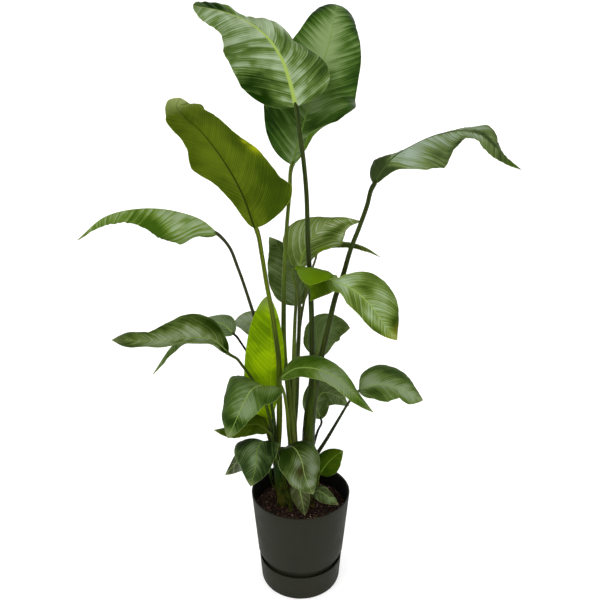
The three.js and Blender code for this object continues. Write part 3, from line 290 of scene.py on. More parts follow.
        sheen=[(0.25, -0.6, 0.15, 0.4, 0.1), (0.6, 0.45, 0.2, 0.15, -0.25), (0.7, 0.8, 0.2, 0.15, 0.2),
            (0.75, 0.2, 0.2, 0.15, 0.15)]),
    "dark_left_back": dict(
        rib=[[-2, 96, 688], [-17, 104, 738], [-34, 108, 788], [-54, 106, 831], [-77, 98, 859]],
        face=[[0, -1, 0.1], [0.1, -0.9, 0.4], [0.1, -0.8, 0.6]], half=[70, 40], fold=[30, 10, 0],
        reach=([1, 0.86, 0.82, 0.8, 0.9], 1), slant=1.1, pleats=(0.6, 8)),
    "narrow_back": dict(
        rib=[[48, 112, 823], [81, 115, 840], [123, 117, 842], [163, 115, 830], [198, 112, 808]],
        face=[[0, -0.3, 1], [0.1, -0.3, 1], [0.4, -0.3, 0.8]], half=[19, 18], fold=[20, 0, -10],
        curl=[-20, -30, -20], rib_scale=0.7),
    "dark_right_back": dict(
        rib=[[42, 98, 550], [50, 104, 581], [65, 104, 610], [90, 96, 628], [124, 82, 632]],
        half=[54, 46], fold=[16, 5, 0], slant=1.1, pleats=(0.6, 8),
        reach=([1, 1, 1.2, 1.1, 1.2], [0.8, 0.68, 0.76, 1.05, 1.2]),
        face=[[-0.3, -0.9, 0.1], [-0.1, -0.85, 0.5], [0.2, -0.6, 0.8]]),
    "torn_back": dict(
        rib=[[54, 92, 380], [44, 104, 420], [57, 104, 448], [90, 92, 448], [126, 78, 423]],
        half=[45, 40], fold=[20, 5, 0], rib_scale=0.7, pleats=(0.6, 8),
        face=[[-0.3, -0.9, 0.1], [-0.2, -0.8, 0.5], [0.3, -0.4, 0.8]]),
    "curled_left": dict(
        rib=[[-77, -48, 416], [-100, -55, 437], [-128, -68, 440], [-161, -80, 434], [-196, -90, 441]],
        face=[[0, -0.5, 0.85], [-0.1, -0.6, 0.8], [-0.3, -0.3, 0.9]], half=[26, 30], fold=[20, 5, 0],
        rib_scale=0.6),
    "small_left": dict(
        rib=[[-94, -20, 339], [-117, -30, 353], [-146, -40, 337], [-181, -50, 304]],
        face=[[0, -0.5, 0.85], [-0.2, -0.6, 0.8], [-0.5, -0.5, 0.6]], half=[30, 30], fold=[20, 5, 0],
        rib_scale=0.5),
    "top_right": dict(
        rib=[[159, -20, 984], [173, -21, 1007], [193, -23, 1034], [235, -30, 1062], [290, -40, 1085],
            [341, -47, 1090], [370, -55, 1081], [398, -64, 1057], [423, -72, 1033], [448, -80, 1012]],
        half=[80, 80], wave=[5, 3, 0], slant=0.9, pleats=(1.2, 15),
        face=[[-0.5, -0.85, 0.1], [-0.3, -0.6, 0.7], [-0.1, -0.4, 0.9], [0, -0.45, 0.9], [0.4, -0.5, 0.8]],
        fold=([20, 20, 0, -25, -25, -10, 5, 15, 10, 0, 0], [20, 12, 0, -5, -15, -75, -40, -25, -20, -20,
            -20]),
        curl=([-60, -60, -60, -60, -50, -40, -20, -10, -10, -10, -10], [-30, -30, -30, -30, -30, 60, 40, 0,
            -20, -20, -20]),
        reach=([1.4, 1.2, 0.5, 0.5, 0.5, 0.6, 0.85, 0.95, 0.5, 0.35, 0.5], [0.3, 0.3, 0.5, 0.85, 0.95,
            0.85, 0.6, 0.35, 0.4, 0.55, 0.8]),
        sheen=[(0.05, 0, 0.1, 2, -0.5), (0.22, 0.3, 0.08, 0.5, 0.25), (0.4, 0.6, 0.08, 0.3, -0.2),
            (0.55, 0.75, 0.06, 0.3, -0.35), (0.67, 0.4, 0.08, 0.6, 0.2), (0.72, -0.1, 0.14, 0.15, -0.4),
            (0.93, 0, 0.1, 2, -0.25)]),
    "left_hidden": dict(
        rib=[[-80, 68, 612], [-96, 71, 633], [-118, 73, 646], [-142, 74, 650], [-168, 72, 646]],
        face=[[0.2, -1, 0.1], [0, -1, 0.3], [-0.1, -0.9, 0.5]], half=[34, 36], fold=[20, 5, 0],
        curl=[-20, -15, -10], rib_scale=0.7, pleats=(0.6, 8)),
}

# The shoots. way holds the points of the sheathed foot from the soil up, radii its radius there,
# and tint its colours at the foot and above, 0 to 255. Each stalk has its way from the blade's
# base down into the sheath, its radii at the top and the bottom, and its colours at the bottom
# and the top.
SHOOTS = {
    "right": dict(
        way=[[22, 38, 195], [21, 30, 300], [21, 21, 386], [28, 15, 470], [32, 12, 520], [33, 10, 575]],
        radii=[17, 16.5, 15.5, 14, 12.5, 8], tint=[[42, 55, 1], [42, 58, 1]],
        stalks={
            "top_left": ([[-4, -23, 1099], [3, -28, 1055], [12, -23, 971], [16, -12, 862], [24, -2, 722],
                [27, 8, 586], [28, 14, 480]], [4.8, 7], [[30, 43, 3], [44, 58, 11]]),
            "top_right": ([[145, -19, 939], [131, -17, 896], [111, -13, 840], [96, -8, 782], [81, -4, 735],
                [66, 2, 665], [47, 10, 570], [32, 14, 480]], [5.4, 8], [[36, 48, 4], [39, 51, 7]]),
            "low_right": ([[121, -8, 480], [94, 0, 427], [66, 8, 370], [44, 14, 328], [24, 24, 285]],
                [3.2, 5.5], [[26, 34, 7], [23, 31, 6]]),
            "dark_right_back": ([[35, 86, 514], [27, 62, 433], [21, 28, 345]], [2.8, 5],
                [[46, 54, 20], [64, 76, 36]]),
            "torn_back": ([[46, 76, 357], [35, 56, 330], [22, 30, 290]], [2.8, 4.5],
                [[17, 24, 3], [15, 21, 2]])}),
    "middle": dict(
        way=[[-16, 26, 195], [-18, 22, 300], [-21, 16, 400], [-25, 10, 480], [-30, 7, 540]],
        radii=[14, 13, 12, 9, 6], tint=[[76, 81, 33], [71, 84, 28]],
        stalks={
            "top_back": ([[-24, 22, 971], [-31, 16, 893], [-36, 10, 814], [-39, 6, 721], [-38, 6, 587],
                [-29, 8, 490], [-22, 14, 400]], [4.8, 7], [[68, 87, 10], [78, 95, 27]]),
            "mid_right": ([[-10, -28, 752], [-13, -18, 679], [-16, -6, 591], [-17, 2, 512],
                [-20, 14, 400]], [3.6, 6], [[71, 88, 26], [69, 86, 26]]),
            "centre_back": ([[-4, 54, 710], [-6, 44, 587], [-10, 32, 460], [-18, 20, 350]], [3.4, 6],
                [[56, 71, 28], [66, 80, 34]]),
            "dark_left_back": ([[-2, 84, 626], [-7, 64, 527], [-12, 44, 428], [-17, 22, 330]], [3.2, 5],
                [[54, 64, 28], [66, 78, 36]]),
            "narrow_back": ([[38, 110, 805], [26, 104, 771], [8, 88, 695], [-5, 72, 617], [-14, 46, 507],
                [-19, 18, 370]], [2.8, 5], [[61, 70, 26], [74, 86, 36]]),
            "front_arch": ([[-44, -50, 530], [-34, -36, 477], [-29, -14, 397], [-22, 18, 320]], [3.4, 5],
                [[75, 91, 21], [64, 82, 13]])}),
    "left": dict(
        way=[[-46, 6, 195], [-52, 2, 260], [-58, -4, 330], [-60, -10, 400]],
        radii=[13, 13, 12, 8], tint=[[13, 46, 2], [13, 51, 1]],
        stalks={
            "upper_left": ([[-83, -66, 835], [-74, -56, 768], [-66, -54, 722], [-56, -47, 649],
                [-50, -42, 587], [-50, -35, 523], [-50, -28, 460], [-52, -18, 401], [-58, -6, 330]],
                [4.8, 7.4], [[60, 77, 2], [77, 92, 7]]),
            "far_left": ([[-159, -34, 853], [-140, -24, 801], [-121, -6, 732], [-101, 10, 650],
                [-82, 16, 548], [-69, 10, 430], [-58, -2, 330]], [3.8, 6], [[31, 38, 12], [44, 49, 24]]),
            "left_front": ([[-144, -71, 606], [-130, -66, 585], [-107, -56, 545], [-85, -42, 493],
                [-71, -26, 422], [-58, -6, 325]], [3.4, 5], [[54, 74, 8], [64, 81, 13]]),
            "left_back": ([[-144, 6, 621], [-128, 10, 593], [-106, 15, 535], [-86, 14, 457], [-70, 6, 365],
                [-56, -2, 310]], [2.8, 5], [[8, 11, 1], [11, 14, 1]]),
            "left_hidden": ([[-79, 62, 590], [-76, 46, 530], [-68, 28, 440], [-60, 8, 350], [-55, 0, 295]],
                [2.6, 4.4], [[36, 46, 12], [36, 46, 12]]),
            "young_lime": ([[-75, -13, 375], [-68, -9, 333], [-56, -2, 290]], [4.2, 6],
                [[79, 82, 5], [74, 78, 3]]),
            "low_left": ([[-67, -64, 500], [-62, -46, 444], [-60, -24, 370], [-56, -3, 300]], [3.4, 5],
                [[27, 46, 5], [27, 46, 5]]),
            "curled_left": ([[-68, -38, 394], [-62, -22, 345], [-54, -1, 285]], [2.6, 4],
                [[63, 85, 15], [68, 91, 18]])}),
    "low_left": dict(
        way=[[-60, 34, 195], [-70, 18, 240], [-77, 4, 275]], radii=[5, 5, 4],
        tint=[[3, 17, 2], [3, 17, 1]],
        stalks={
            "low_left_small": ([[-76, -36, 346], [-76, -16, 312], [-73, 12, 254]], [2.8, 4],
                [[26, 49, 2], [24, 47, 1]]),
            "small_left": ([[-86, -14, 322], [-81, -6, 298], [-71, 16, 246]], [2.4, 3.4],
                [[44, 52, 26], [46, 54, 26]])}),
    "front": dict(
        way=[[-24, -22, 195], [-28, -26, 220], [-34, -30, 250]], radii=[6, 5.5, 4.5],
        tint=[[56, 68, 22], [40, 62, 14]],
        stalks={
            "low_front": ([[-46, -38, 341], [-42, -33, 293], [-30, -27, 230]], [3, 4],
                [[41, 54, 2], [41, 54, 3]]),
            "pot_front": ([[-15, -23, 246], [-19, -23, 228], [-26, -24, 208]], [2.2, 3],
                [[76, 88, 40], [80, 90, 40]])}),
    "young": dict(
        way=[[30, -8, 195], [32, -6, 215]], radii=[5.5, 4.5], tint=[[28, 20, 18], [28, 23, 16]],
        stalks={
            "pot_right": ([[26, -12, 222], [28, -10, 205]], [2, 3], [[85, 83, 38], [89, 83, 38]]),
            "pot_bright": ([[44, 10, 246], [38, 2, 228], [30, -7, 204]], [2.4, 3.4],
                [[70, 91, 26], [75, 98, 26]])}),
}

# The usual finish of a leaf, and in LOOKS what differs from it. Colours, 0 to 255: deep and
# light are the two greens of the upper face, the light one greyish where it stands in as a painted
# sheen, under and under_light those of the lower one, rib and under_rib the midrib's two sides, edge
# the thin line along the margin, tip and under_tip the last part, spot the yellowed and dried places
# and, on mid_right, a painted glow. Amounts that make the green lighter: level everywhere, bands by
# the pleats as a painted sheen on their lit sides, patches by soft clouds, centre towards the rib and
# veins along each vein. rough and gloss are the surface's own, rib_wide is half the midrib's width at
# the base in mm. gloss is kept low, and the sheen is painted into the greens instead.
DARK = dict(
    deep=(44, 60, 20), light=(92, 108, 64), rib=(116, 138, 70), edge=(128, 146, 84), under=(70, 88, 34),
    under_light=(96, 114, 60), under_rib=(70, 88, 30), tip=(110, 120, 74), level=0.2, bands=0.3,
    patches=0.3, centre=0.12, veins=0.1, rough=0.42, gloss=0.02, rib_wide=2.0,
)
# The green halfway between deep and light is fresher than their mean: this much of its blue.
MIDDLE_BLUE = 0.72
LOOKS = {
    "top_left": dict(deep=(20, 45, 0), light=(160, 177, 145), rib=(150, 172, 84), under=(48, 74, 14),
        tip=(84, 104, 56), bands=0.38, patches=0.25, rib_wide=4.2),
    "top_back": dict(deep=(12, 40, 0), light=(124, 146, 94), rib=(104, 134, 56), under=(62, 90, 6),
        under_light=(84, 112, 16), level=0.089, bands=0.32, patches=0.15, centre=0.5),
    # Its yellow-green edge and lower face are its own colour made brighter by a painted glow of light
    # shining through the thin blade.
    "upper_left": dict(deep=(58, 80, 10), light=(96, 116, 34), under=(44, 62, 0),
        under_light=(98, 115, 22), under_rib=(34, 48, 2), under_tip=(142, 154, 96), edge=(140, 152, 40),
        tip=(120, 134, 70), spot=(150, 160, 10), bands=0.25, patches=0.15, veins=0.3),
    "far_left": dict(deep=(52, 78, 9), light=(137, 154, 116), under=(62, 84, 30), level=0.073, bands=0.55,
        patches=0.2),
    "left_front": dict(deep=(27, 45, 1), light=(143, 156, 123), level=0.097),
    "left_hidden": dict(deep=(46, 62, 30), light=(146, 158, 134), level=0.24),
    "left_back": dict(deep=(22, 35, 4), light=(108, 126, 89)),
    # Its lime greens are its own colour made brighter by a painted glow of light shining through the young
    # blade.
    "young_lime": dict(deep=(70, 98, 1), light=(150, 182, 3), rib=(140, 166, 20), under=(100, 130, 0),
        under_light=(134, 164, 8), under_rib=(126, 152, 10), edge=(150, 172, 40), level=0.14, veins=0.08,
        rib_wide=1.4),
    "low_left": dict(deep=(28, 50, 4), light=(113, 131, 92), rib=(128, 150, 78), spot=(84, 108, 10),
        level=0.12),
    "low_left_small": dict(deep=(3, 17, 0), light=(103, 121, 86), rib=(92, 116, 50), level=0.107),
    "low_front": dict(deep=(24, 42, 1), light=(111, 122, 97), rib=(128, 146, 80), edge=(140, 156, 100),
        spot=(46, 42, 16), level=0.04, rough=0.34),
    "pot_front": dict(deep=(10, 15, 1), light=(93, 98, 68), tip=(130, 122, 90)),
    "pot_right": dict(deep=(1, 1, 0), light=(123, 143, 98), tip=(140, 140, 100)),
    "pot_bright": dict(deep=(28, 55, 0), light=(68, 85, 11), rib=(100, 128, 40)),
    "front_arch": dict(deep=(44, 70, 2), light=(115, 130, 95), rib=(116, 140, 64), level=0.104),
    "low_right": dict(deep=(41, 62, 16), light=(131, 147, 112), rib=(128, 148, 84), level=0.078),
    # Its spot colour is a painted glow of light on the rolled base, not a yellowed place.
    "mid_right": dict(deep=(45, 65, 1), light=(156, 175, 138), rib=(138, 164, 74), under=(66, 96, 0),
        under_light=(92, 122, 6), edge=(140, 156, 50), tip=(130, 130, 40), spot=(84, 112, 4), level=0.116,
        patches=0.2),
    "centre_back": dict(deep=(39, 61, 5), light=(175, 185, 154), rib=(116, 142, 52), under=(76, 98, 10),
        spot=(96, 120, 10), level=0.11, bands=0.34, patches=0.15),
    "dark_left_back": dict(deep=(26, 40, 8), light=(116, 130, 100), rib=(84, 100, 48), level=0.1),
    "narrow_back": dict(deep=(28, 40, 0), light=(118, 128, 84), level=0.1),
    "dark_right_back": dict(deep=(30, 36, 5), light=(97, 117, 70), rib=(92, 112, 50)),
    "torn_back": dict(deep=(27, 41, 7), light=(109, 125, 86), under=(70, 90, 20)),
    "curled_left": dict(deep=(24, 35, 0), light=(60, 76, 10), rib=(70, 88, 26)),
    "small_left": dict(deep=(20, 25, 14), light=(117, 124, 119)),
    "top_right": dict(deep=(44, 58, 26), light=(150, 166, 150), rib=(60, 74, 34), under=(76, 88, 30),
        under_rib=(48, 60, 20), tip=(64, 90, 0), level=0.15, bands=0.26, patches=0.25),
}


def colour(red, green, blue):
    """A display colour of 0 to 255 a channel, as the linear colour that the shaders use."""
    c = np.array([red, green, blue]) / 255
    c = np.where(c <= 0.04045, c / 12.92, ((c + 0.055) / 1.055) ** 2.4)
    return (*[float(x) for x in c], 1.0)


# Curves


def unit(v):
    """Each vector, made one long."""
    return v / np.maximum(np.linalg.norm(v, axis=-1, keepdims=True), 1e-12)


def chord_places(points):
    """How far along the chords each point stands."""
    return np.r_[0, np.cumsum(np.linalg.norm(np.diff(np.asarray(points, float), axis=0), axis=1))]


def curve_length(points):
    """The sum of the chords."""
    return float(chord_places(points)[-1])


def smooth_curve(points, t):
    """Cubic curve through the points, t running with the chords; a point's slope is the mean of
    its two chords' slopes, each weighted by the other's length."""
    points = np.asarray(points, float)
    s = chord_places(points)
    s /= s[-1]
    slope = np.gradient(points, s, axis=0)
    t = np.asarray(t, float)
    i = np.clip(np.searchsorted(s, t, side="right") - 1, 0, len(s) - 2)
    h = (s[i + 1] - s[i])[:, None]
    x = (t - s[i])[:, None] / h
    return (
        (2 * x**3 - 3 * x**2 + 1) * points[i]
        + (x**3 - 2 * x**2 + x) * h * slope[i]
        + (3 * x**2 - 2 * x**3) * points[i + 1]
        + (x**3 - x**2) * h * slope[i + 1]
    )


def direction(points, t):
    """Unit tangent of the curve, from the points a thousandth before and after t."""
    step = 0.001
    before = smooth_curve(points, np.maximum(t - step, 0))
    return unit(smooth_curve(points, np.minimum(t + step, 1)) - before)


def between(keys, t):
    """The value between evenly spaced keys, a number or a list of them."""
    keys = np.atleast_1d(np.asarray(keys, float))
    return np.interp(t, np.linspace(0, 1, len(keys)), keys)


def halves(keys, t):
    """The left and the right half's value at t: keys is one entry for both, or a pair of them."""
    left, right = keys if isinstance(keys, tuple) else (keys, keys)
    return np.stack([between(left, t), between(right, t)], -1)


def ease(x, low, high):
    """0 below low, 1 above high, 3x2 - 2x3 in between."""
    x = np.clip((x - low) / (high - low), 0, 1)
    return x * x * (3 - 2 * x)


def sway(x, seed):
    """A smooth wandering line between about -1 and 1: four sines whose rates and starts come
    from the seed."""
    draw = np.random.default_rng(seed)
    rates = np.array([1.0, 1.9, 3.1, 5.3]) * draw.uniform(0.85, 1.15, 4)
    starts = draw.uniform(0, 2 * math.pi, 4)
    weights = np.array([0.4, 0.28, 0.2, 0.12])
    return sum(w * np.sin(2 * math.pi * r * x + a) for w, r, a in zip(weights, rates, starts))


# Meshes


def turns(sides):
    """The angles of a ring's points."""
    return np.arange(sides) * 2 * math.pi / sides


def grid_faces(rows, cols, first=0):
    """Four-sided faces of a grid of rows x cols points, numbered row by row."""
    a = (np.arange(rows - 1)[:, None] * cols + np.arange(cols - 1)).ravel() + first
    return np.stack([a, a + 1, a + cols + 1, a + cols], 1)


def ring_faces(rings, sides):
    """Four-sided faces between rings of points, each ring closed on itself."""
    i, k = np.meshgrid(np.arange(rings - 1), np.arange(sides), indexing="ij")
    a = (i * sides + k).ravel()
    b = (i * sides + (k + 1) % sides).ravel()
    return np.stack([a, b, b + sides, a + sides], 1)


def fan_faces(ring, centre):
    """Triangles that close a ring of points on a centre point."""
    return np.stack([np.full(len(ring), centre), ring, np.roll(ring, -1)], 1)


def closed_rings(rings, first, last):
    """Points and faces of a closed body: rings of points joined in order, and a fan at each end
    that closes it on that end's point."""
    count, sides = rings.shape[:2]
    many = count * sides
    points = np.concatenate([rings.reshape(-1, 3), [first, last]])
    fans = [fan_faces(np.arange(sides), many)[:, ::-1], fan_faces(np.arange(many - sides, many), many + 1)]
    return points, [ring_faces(count, sides), np.concatenate(fans)]


def rings_about_z(radius, height, sides):
    """A ring about Z for each radius and its height."""
    turn = turns(sides)
    x, y = radius[:, None] * np.cos(turn), radius[:, None] * np.sin(turn)
    return np.stack([x, y, height[:, None] * np.ones(sides)], -1)


def make_piece(name, points, faces, material, slot, nodes=(), values=None, tint=None, sharp=50):
    """A mesh object in metres from points in millimetres, a list of face arrays, values for the
    material by name, and a tint for each point. It rides on the root body."""
    mesh = bpy.data.meshes.new(name)
    corners = np.concatenate([f.ravel() for f in faces]).astype(np.int32)
    sizes = np.concatenate([np.full(len(f), f.shape[1]) for f in faces])
    starts = np.r_[0, np.cumsum(sizes)[:-1]].astype(np.int32)
    mesh.vertices.add(len(points))
    mesh.vertices.foreach_set("co", (np.asarray(points) * MM).astype(np.float32).ravel())
    mesh.loops.add(len(corners))
    mesh.loops.foreach_set("vertex_index", corners)
    mesh.polygons.add(len(starts))
    mesh.polygons.foreach_set("loop_start", starts)
    mesh.update(calc_edges=True)
    mesh.validate()
    mesh.polygons.foreach_set("use_smooth", np.ones(len(starts), bool))
    for key, value in (values or {}).items():
        layer = mesh.attributes.new(key, "FLOAT", "POINT")
        layer.data.foreach_set("value", np.asarray(value, np.float32).ravel())
    if tint is not None:
        layer = mesh.attributes.new("tint", "FLOAT_COLOR", "POINT")
        layer.data.foreach_set("color", np.asarray(tint, np.float32).ravel())
    mesh.set_sharp_from_angle(angle=sharp * DEG)
    mesh.materials.append(material)
    piece = bpy.data.objects.new(name, mesh)
    bpy.context.collection.objects.link(piece)
    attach(piece, "root")
    if nodes:
        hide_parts(*nodes)
    return piece


# Leaf blades


def outline_at(t, blunt, point):
    """Half width along the blade: t^blunt (1-t)^point over its highest value."""
    widest = blunt / (blunt + point)
    most = widest**blunt * (1 - widest) ** point
    return np.maximum(t, 1e-4) ** blunt * np.maximum(1 - t, 1e-4) ** point / most


def blade_places(half):
    """Places along and across a blade: closer together at the ends along it, and at the rib and
    the edge across it. More of them on a wider blade."""
    rows = int(np.clip(half * 1.15, 44, 130))
    cols = int(np.clip(half * 0.3, 12, 30))
    x = np.linspace(0, 1, rows + 1)
    t = x - 0.1 * np.sin(2 * math.pi * x)
    v = np.linspace(0, 1, cols + 1) ** 1.45
    v = np.r_[v[:-1], 0.985, 1]
    return t, np.r_[-v[:0:-1], v]


def blade_surface(leaf, t, u, seed):
    """The middle surface of a blade at t along and u across, -1 to 1.

    Each half leaves the rib at its fold angle f and bends on by k, so that at v = |u| it is
    out = half (sin(f + k v) - sin f) / k to the side and rise = half (cos f - cos(f + k v)) / k
    up, with edge waves, pleats along the side veins and a sweep towards the tip added, which the
    lean of the side veins makes longer."""
    side = (u > 0).astype(int)
    reach = halves(leaf.get("reach", 1), t)[:, side]
    lean = halves(leaf.get("lean", 0), t)[:, side]
    fold = halves(leaf["fold"], t)[:, side] * DEG
    bend = halves(leaf.get("curl", USUAL_CURL), t)[:, side] * 2 * DEG
    bend = np.where(np.abs(bend) < 1e-4, 1e-4, bend)
    rib = smooth_curve(leaf["rib"], t)
    along = direction(leaf["rib"], t)
    up = np.stack([between(part, t) for part in unit(np.asarray(leaf["face"], float)).T], -1)
    up = unit(up - (up * along).sum(1, keepdims=True) * along)
    right = np.cross(along, up)

    t = t[:, None]
    v = np.abs(u)[None, :]
    shape = outline_at(t, leaf.get("blunt", 0.5), leaf.get("point", 0.9))
    uneven = np.where(side == 0, sway(t * 3, seed), sway(t * 3, seed + 1))
    half = np.array(leaf["half"])[side] * shape * reach * (1 + RAGGED * uneven)
    half = np.maximum(half, np.where(t < 0.5, 3, 1.2))
    slant = leaf.get("slant", VEIN_SLANT)
    vein = t * curve_length(leaf["rib"]) - np.maximum(slant - lean, 0.1) * half * v**1.4

    high, count, start = leaf.get("wave", [0, 0, 0])
    rise = high * v**2 * shape * np.sin(2 * math.pi * count * t + start + 1.7 * side)
    high, spacing = leaf.get("pleats", (0.5, 13))
    pleat = vein / spacing + 0.25 * sway(vein / 150, seed + 2) + 0.37 * side
    part = np.minimum(1, 1.3 * shape) * ease(v, 0, 0.35) * (1 - 0.45 * v**3)
    rise = rise + high * part * np.sin(2 * math.pi * pleat)
    high, spacing = leaf.get("ruffle", (0.8, 45))
    turn = 2 * math.pi * (vein / spacing + 0.5 * sway(vein / 160, seed + 3 + side[0]))
    rise = rise + high * ease(v, 0.5, 1) * np.minimum(1, 1.5 * shape) * np.sin(turn + 2 * side)

    out = half * (np.sin(fold + bend * v) - np.sin(fold)) / bend
    rise = rise + half * (np.cos(fold) - np.cos(fold + bend * v)) / bend
    sweep = half * v * (0.25 - 0.15 * v + lean)
    points = (
        rib[:, None]
        + right[:, None] * (np.sign(u)[None, :] * out)[..., None]
        + up[:, None] * rise[..., None]
        + along[:, None] * sweep[..., None]
    )
    return points, half, vein, pleat


def patch(t, u, at_t, at_u, long, wide):
    """A soft round patch on a blade: e^-(((t - at_t) / long)^2 + ((u - at_u) / wide)^2)."""
    return np.exp(-(((t - at_t) / long) ** 2) - ((u[None, :] - at_u) / wide) ** 2)


def blade_values(leaf, t, u, half, vein, pleat):
    """What the leaf's material reads at each place of the blade; lengths are in metres."""
    t, v = t[:, None], np.abs(u)[None, :]
    spot = np.zeros(half.shape)
    for place in leaf.get("spots", ()):
        spot = np.maximum(spot, patch(t, u, *place))
    # Painted light and shade, with some of the blade's own tone: keyed along each half and in soft patches.
    tone = halves(leaf.get("tone", 0), t[:, 0])[:, (u > 0).astype(int)]
    for *place, amount in leaf.get("sheen", ()):
        tone = tone + amount * patch(t, u, *place)
    return {
        "across": half * v * np.sign(u) * MM, "edge": half * (1 - v) * MM, "vein": vein * MM,
        "along": t, "spot": spot, "pleat": pleat + 0.6, "tone": tone,
    }


def make_blade(name, leaf, material, seed):
    """A closed blade: the middle surface moved out both ways along its normal, with a low band
    for the rib above and a rounded keel below, and a narrow rim between the two faces."""
    t, u = blade_places(max(leaf["half"]))
    points, half, vein, pleat = blade_surface(leaf, t, u, seed)
    rows, cols = points.shape[:2]
    out = unit(np.cross(np.gradient(points, axis=1), np.gradient(points, axis=0)))
    v = np.abs(u)[None, :]
    across = half * v
    thick = BLADE_THICK + (EDGE_THICK - BLADE_THICK) * ease(v, 0.6, 1)
    scale = leaf.get("rib_scale", 1) * (1 - 0.75 * t[:, None])
    keel = KEEL_THICK * scale * np.sqrt(np.clip(1 - (across / (KEEL_HALF * scale)) ** 2, 0, 1))
    band = BAND_THICK * scale * np.clip(1 - (across / (BAND_HALF * scale)) ** 2, 0, 1)
    upper = points + out * (thick / 2 + band)[..., None]
    lower = points - out * (thick / 2 + keel)[..., None]
    count = rows * cols
    number = np.arange(count).reshape(rows, cols)
    loop = np.r_[number[0, :-1], number[:-1, -1], number[-1, :0:-1], number[:0:-1, 0]]
    ahead = np.roll(loop, -1)
    rim = np.stack([loop, loop + count, ahead + count, ahead], 1)
    faces = [grid_faces(rows, cols), grid_faces(rows, cols, count)[:, ::-1], rim]
    values = blade_values(leaf, t, u, half, vein, pleat)
    values = {key: np.tile(np.broadcast_to(x, (rows, cols)).ravel(), 2) for key, x in values.items()}
    values["under"] = np.repeat([0, 1], count)
    both = np.concatenate([upper.reshape(-1, 3), lower.reshape(-1, 3)])
    make_piece("blade_" + name, both, faces, material, slot_of(name), ["leaf_" + name], values)


# Stalks and sheaths


def ring_axes(rings):
    """Two directions square to the path at each ring, the first of them nearest to +X."""
    axis = unit(np.gradient(rings, axis=0))
    first = unit(np.array([1.0, 0, 0]) - axis * axis[:, :1])
    return first, np.cross(axis, first)


def tube(rings, radii):
    """A closed tube along the rings of its path, with a radius for each ring and side."""
    first, second = ring_axes(rings)
    turn = turns(radii.shape[1])
    points = (
        rings[:, None]
        + first[:, None] * (radii * np.cos(turn))[..., None]
        + second[:, None] * (radii * np.sin(turn))[..., None]
    )
    return closed_rings(points, rings[0], rings[-1])


def tube_values(around, height, sheath):
    """For each ring and side of a tube: metres around it, metres up it, and 1 on a sheath."""
    grid = np.ones((len(height), len(around)))
    return {"around": grid * around * MM, "height": grid * height[:, None] * MM, "sheath": grid * sheath}


def tube_tint(ends, mix, sides):
    """The tint of each point: from the first to the second of the ends as mix grows."""
    low, high = (np.array(colour(*c)) for c in ends)
    return np.repeat(low + (high - low) * mix[:, None], sides, axis=0)


def stalk_path(name, way):
    """The stalk's points, foot first: down from the blade's base into the sheath, with a last
    short run on under the blade's keel."""
    rib = np.asarray(LEAVES[name]["rib"], float)
    back = direction(rib, np.array([0.0]))[0]
    start = rib[0]
    points = [start + back * STALK_END, start, start - back * 7, *np.asarray(way, float)]
    return np.array(points)[::-1]


def groove_radii(turn, radius, rings, deep):
    """Round, with a shallow channel: radius (1 - deep e^(-(a / 0.55)^2)), a being the angle from
    the side that looks to the plant's middle."""
    first, second = ring_axes(rings)
    inwards = np.array(MIDDLE) - rings
    inwards[:, 2] = 0
    facing = np.arctan2((inwards * second).sum(1), (inwards * first).sum(1))
    away = (turn[None, :] - facing[:, None] + math.pi) % (2 * math.pi) - math.pi
    return radius[:, None] * (1 - deep * np.exp(-((away / 0.55) ** 2)))


def stalk_tube(leaf, way, ends, tint):
    """One stalk, swelling a little under its blade and thin at its very end: an eighth more at
    SWELL_UNDER mm from the end, falling off as e^-(distance / SWELL_LONG)^2."""
    way = stalk_path(leaf, way)
    long = curve_length(way)
    t = np.linspace(0, 1, max(10, int(long / 8)) + 1)
    rings = smooth_curve(way, t)
    top, bottom = ends
    near_top = (1 - t) * long
    radius = bottom + (top - bottom) * ease(t, 0, 0.9)
    radius = radius * (1 + 0.12 * np.exp(-((near_top - SWELL_UNDER) / SWELL_LONG) ** 2))
    radius = radius * (1 - 0.45 * ease(STALK_END - near_top, 0, STALK_END))
    turn = turns(STALK_SIDES)
    points, faces = tube(rings, groove_radii(turn, radius, rings, 0.2))
    tint = tube_tint(tint, ease(t, 0.15, 1), STALK_SIDES)
    return points, faces, tube_values(turn * 5, t * long, 0), tint


def sheath_tube(shoot):
    """The sheathed foot, from under the soil's surface up. Its radius grows by a tenth from one
    sheath edge to the next and drops back there, and the edges climb with a slow twist. Its tint is
    painted darker just past each edge, as shade under the edge, and lighter towards the next."""
    way = [[*shoot["way"][0][:2], SOIL_HEIGHT - 20], *shoot["way"]]
    long = curve_length(way)
    t = np.linspace(0, 1, max(8, int(long / 6)) + 1)
    rings = smooth_curve(way, t)
    radius = np.interp(t, chord_places(way) / long, shoot["radii"][:1] + shoot["radii"])
    radius = radius * (1 + 0.05 * sway(t * 2, 5)) * np.where(t > 0.97, 0.8, 1)
    turn = turns(SHEATH_SIDES)
    place = (turn[None, :] * SHEATH_EDGES / (2 * math.pi) + rings[:, 2:] / SHEATH_TWIST) % 1
    points, faces = tube(rings, radius[:, None] * (0.94 + 0.1 * place))
    tint = tube_tint(shoot["tint"], ease(t, 0.05, 0.75), SHEATH_SIDES)
    # Painted shade: darker just past each sheath edge, lighter towards the next.
    tint[:, :3] *= 0.72 + 0.5 * place.reshape(-1, 1)
    return points, faces, tube_values(turn * 14, rings[:, 2], 1), tint


def with_ends(rows):
    """A tube's rows, and the first and the last one again for its two end points."""
    return np.concatenate([rows, rows[:1], rows[-1:]])


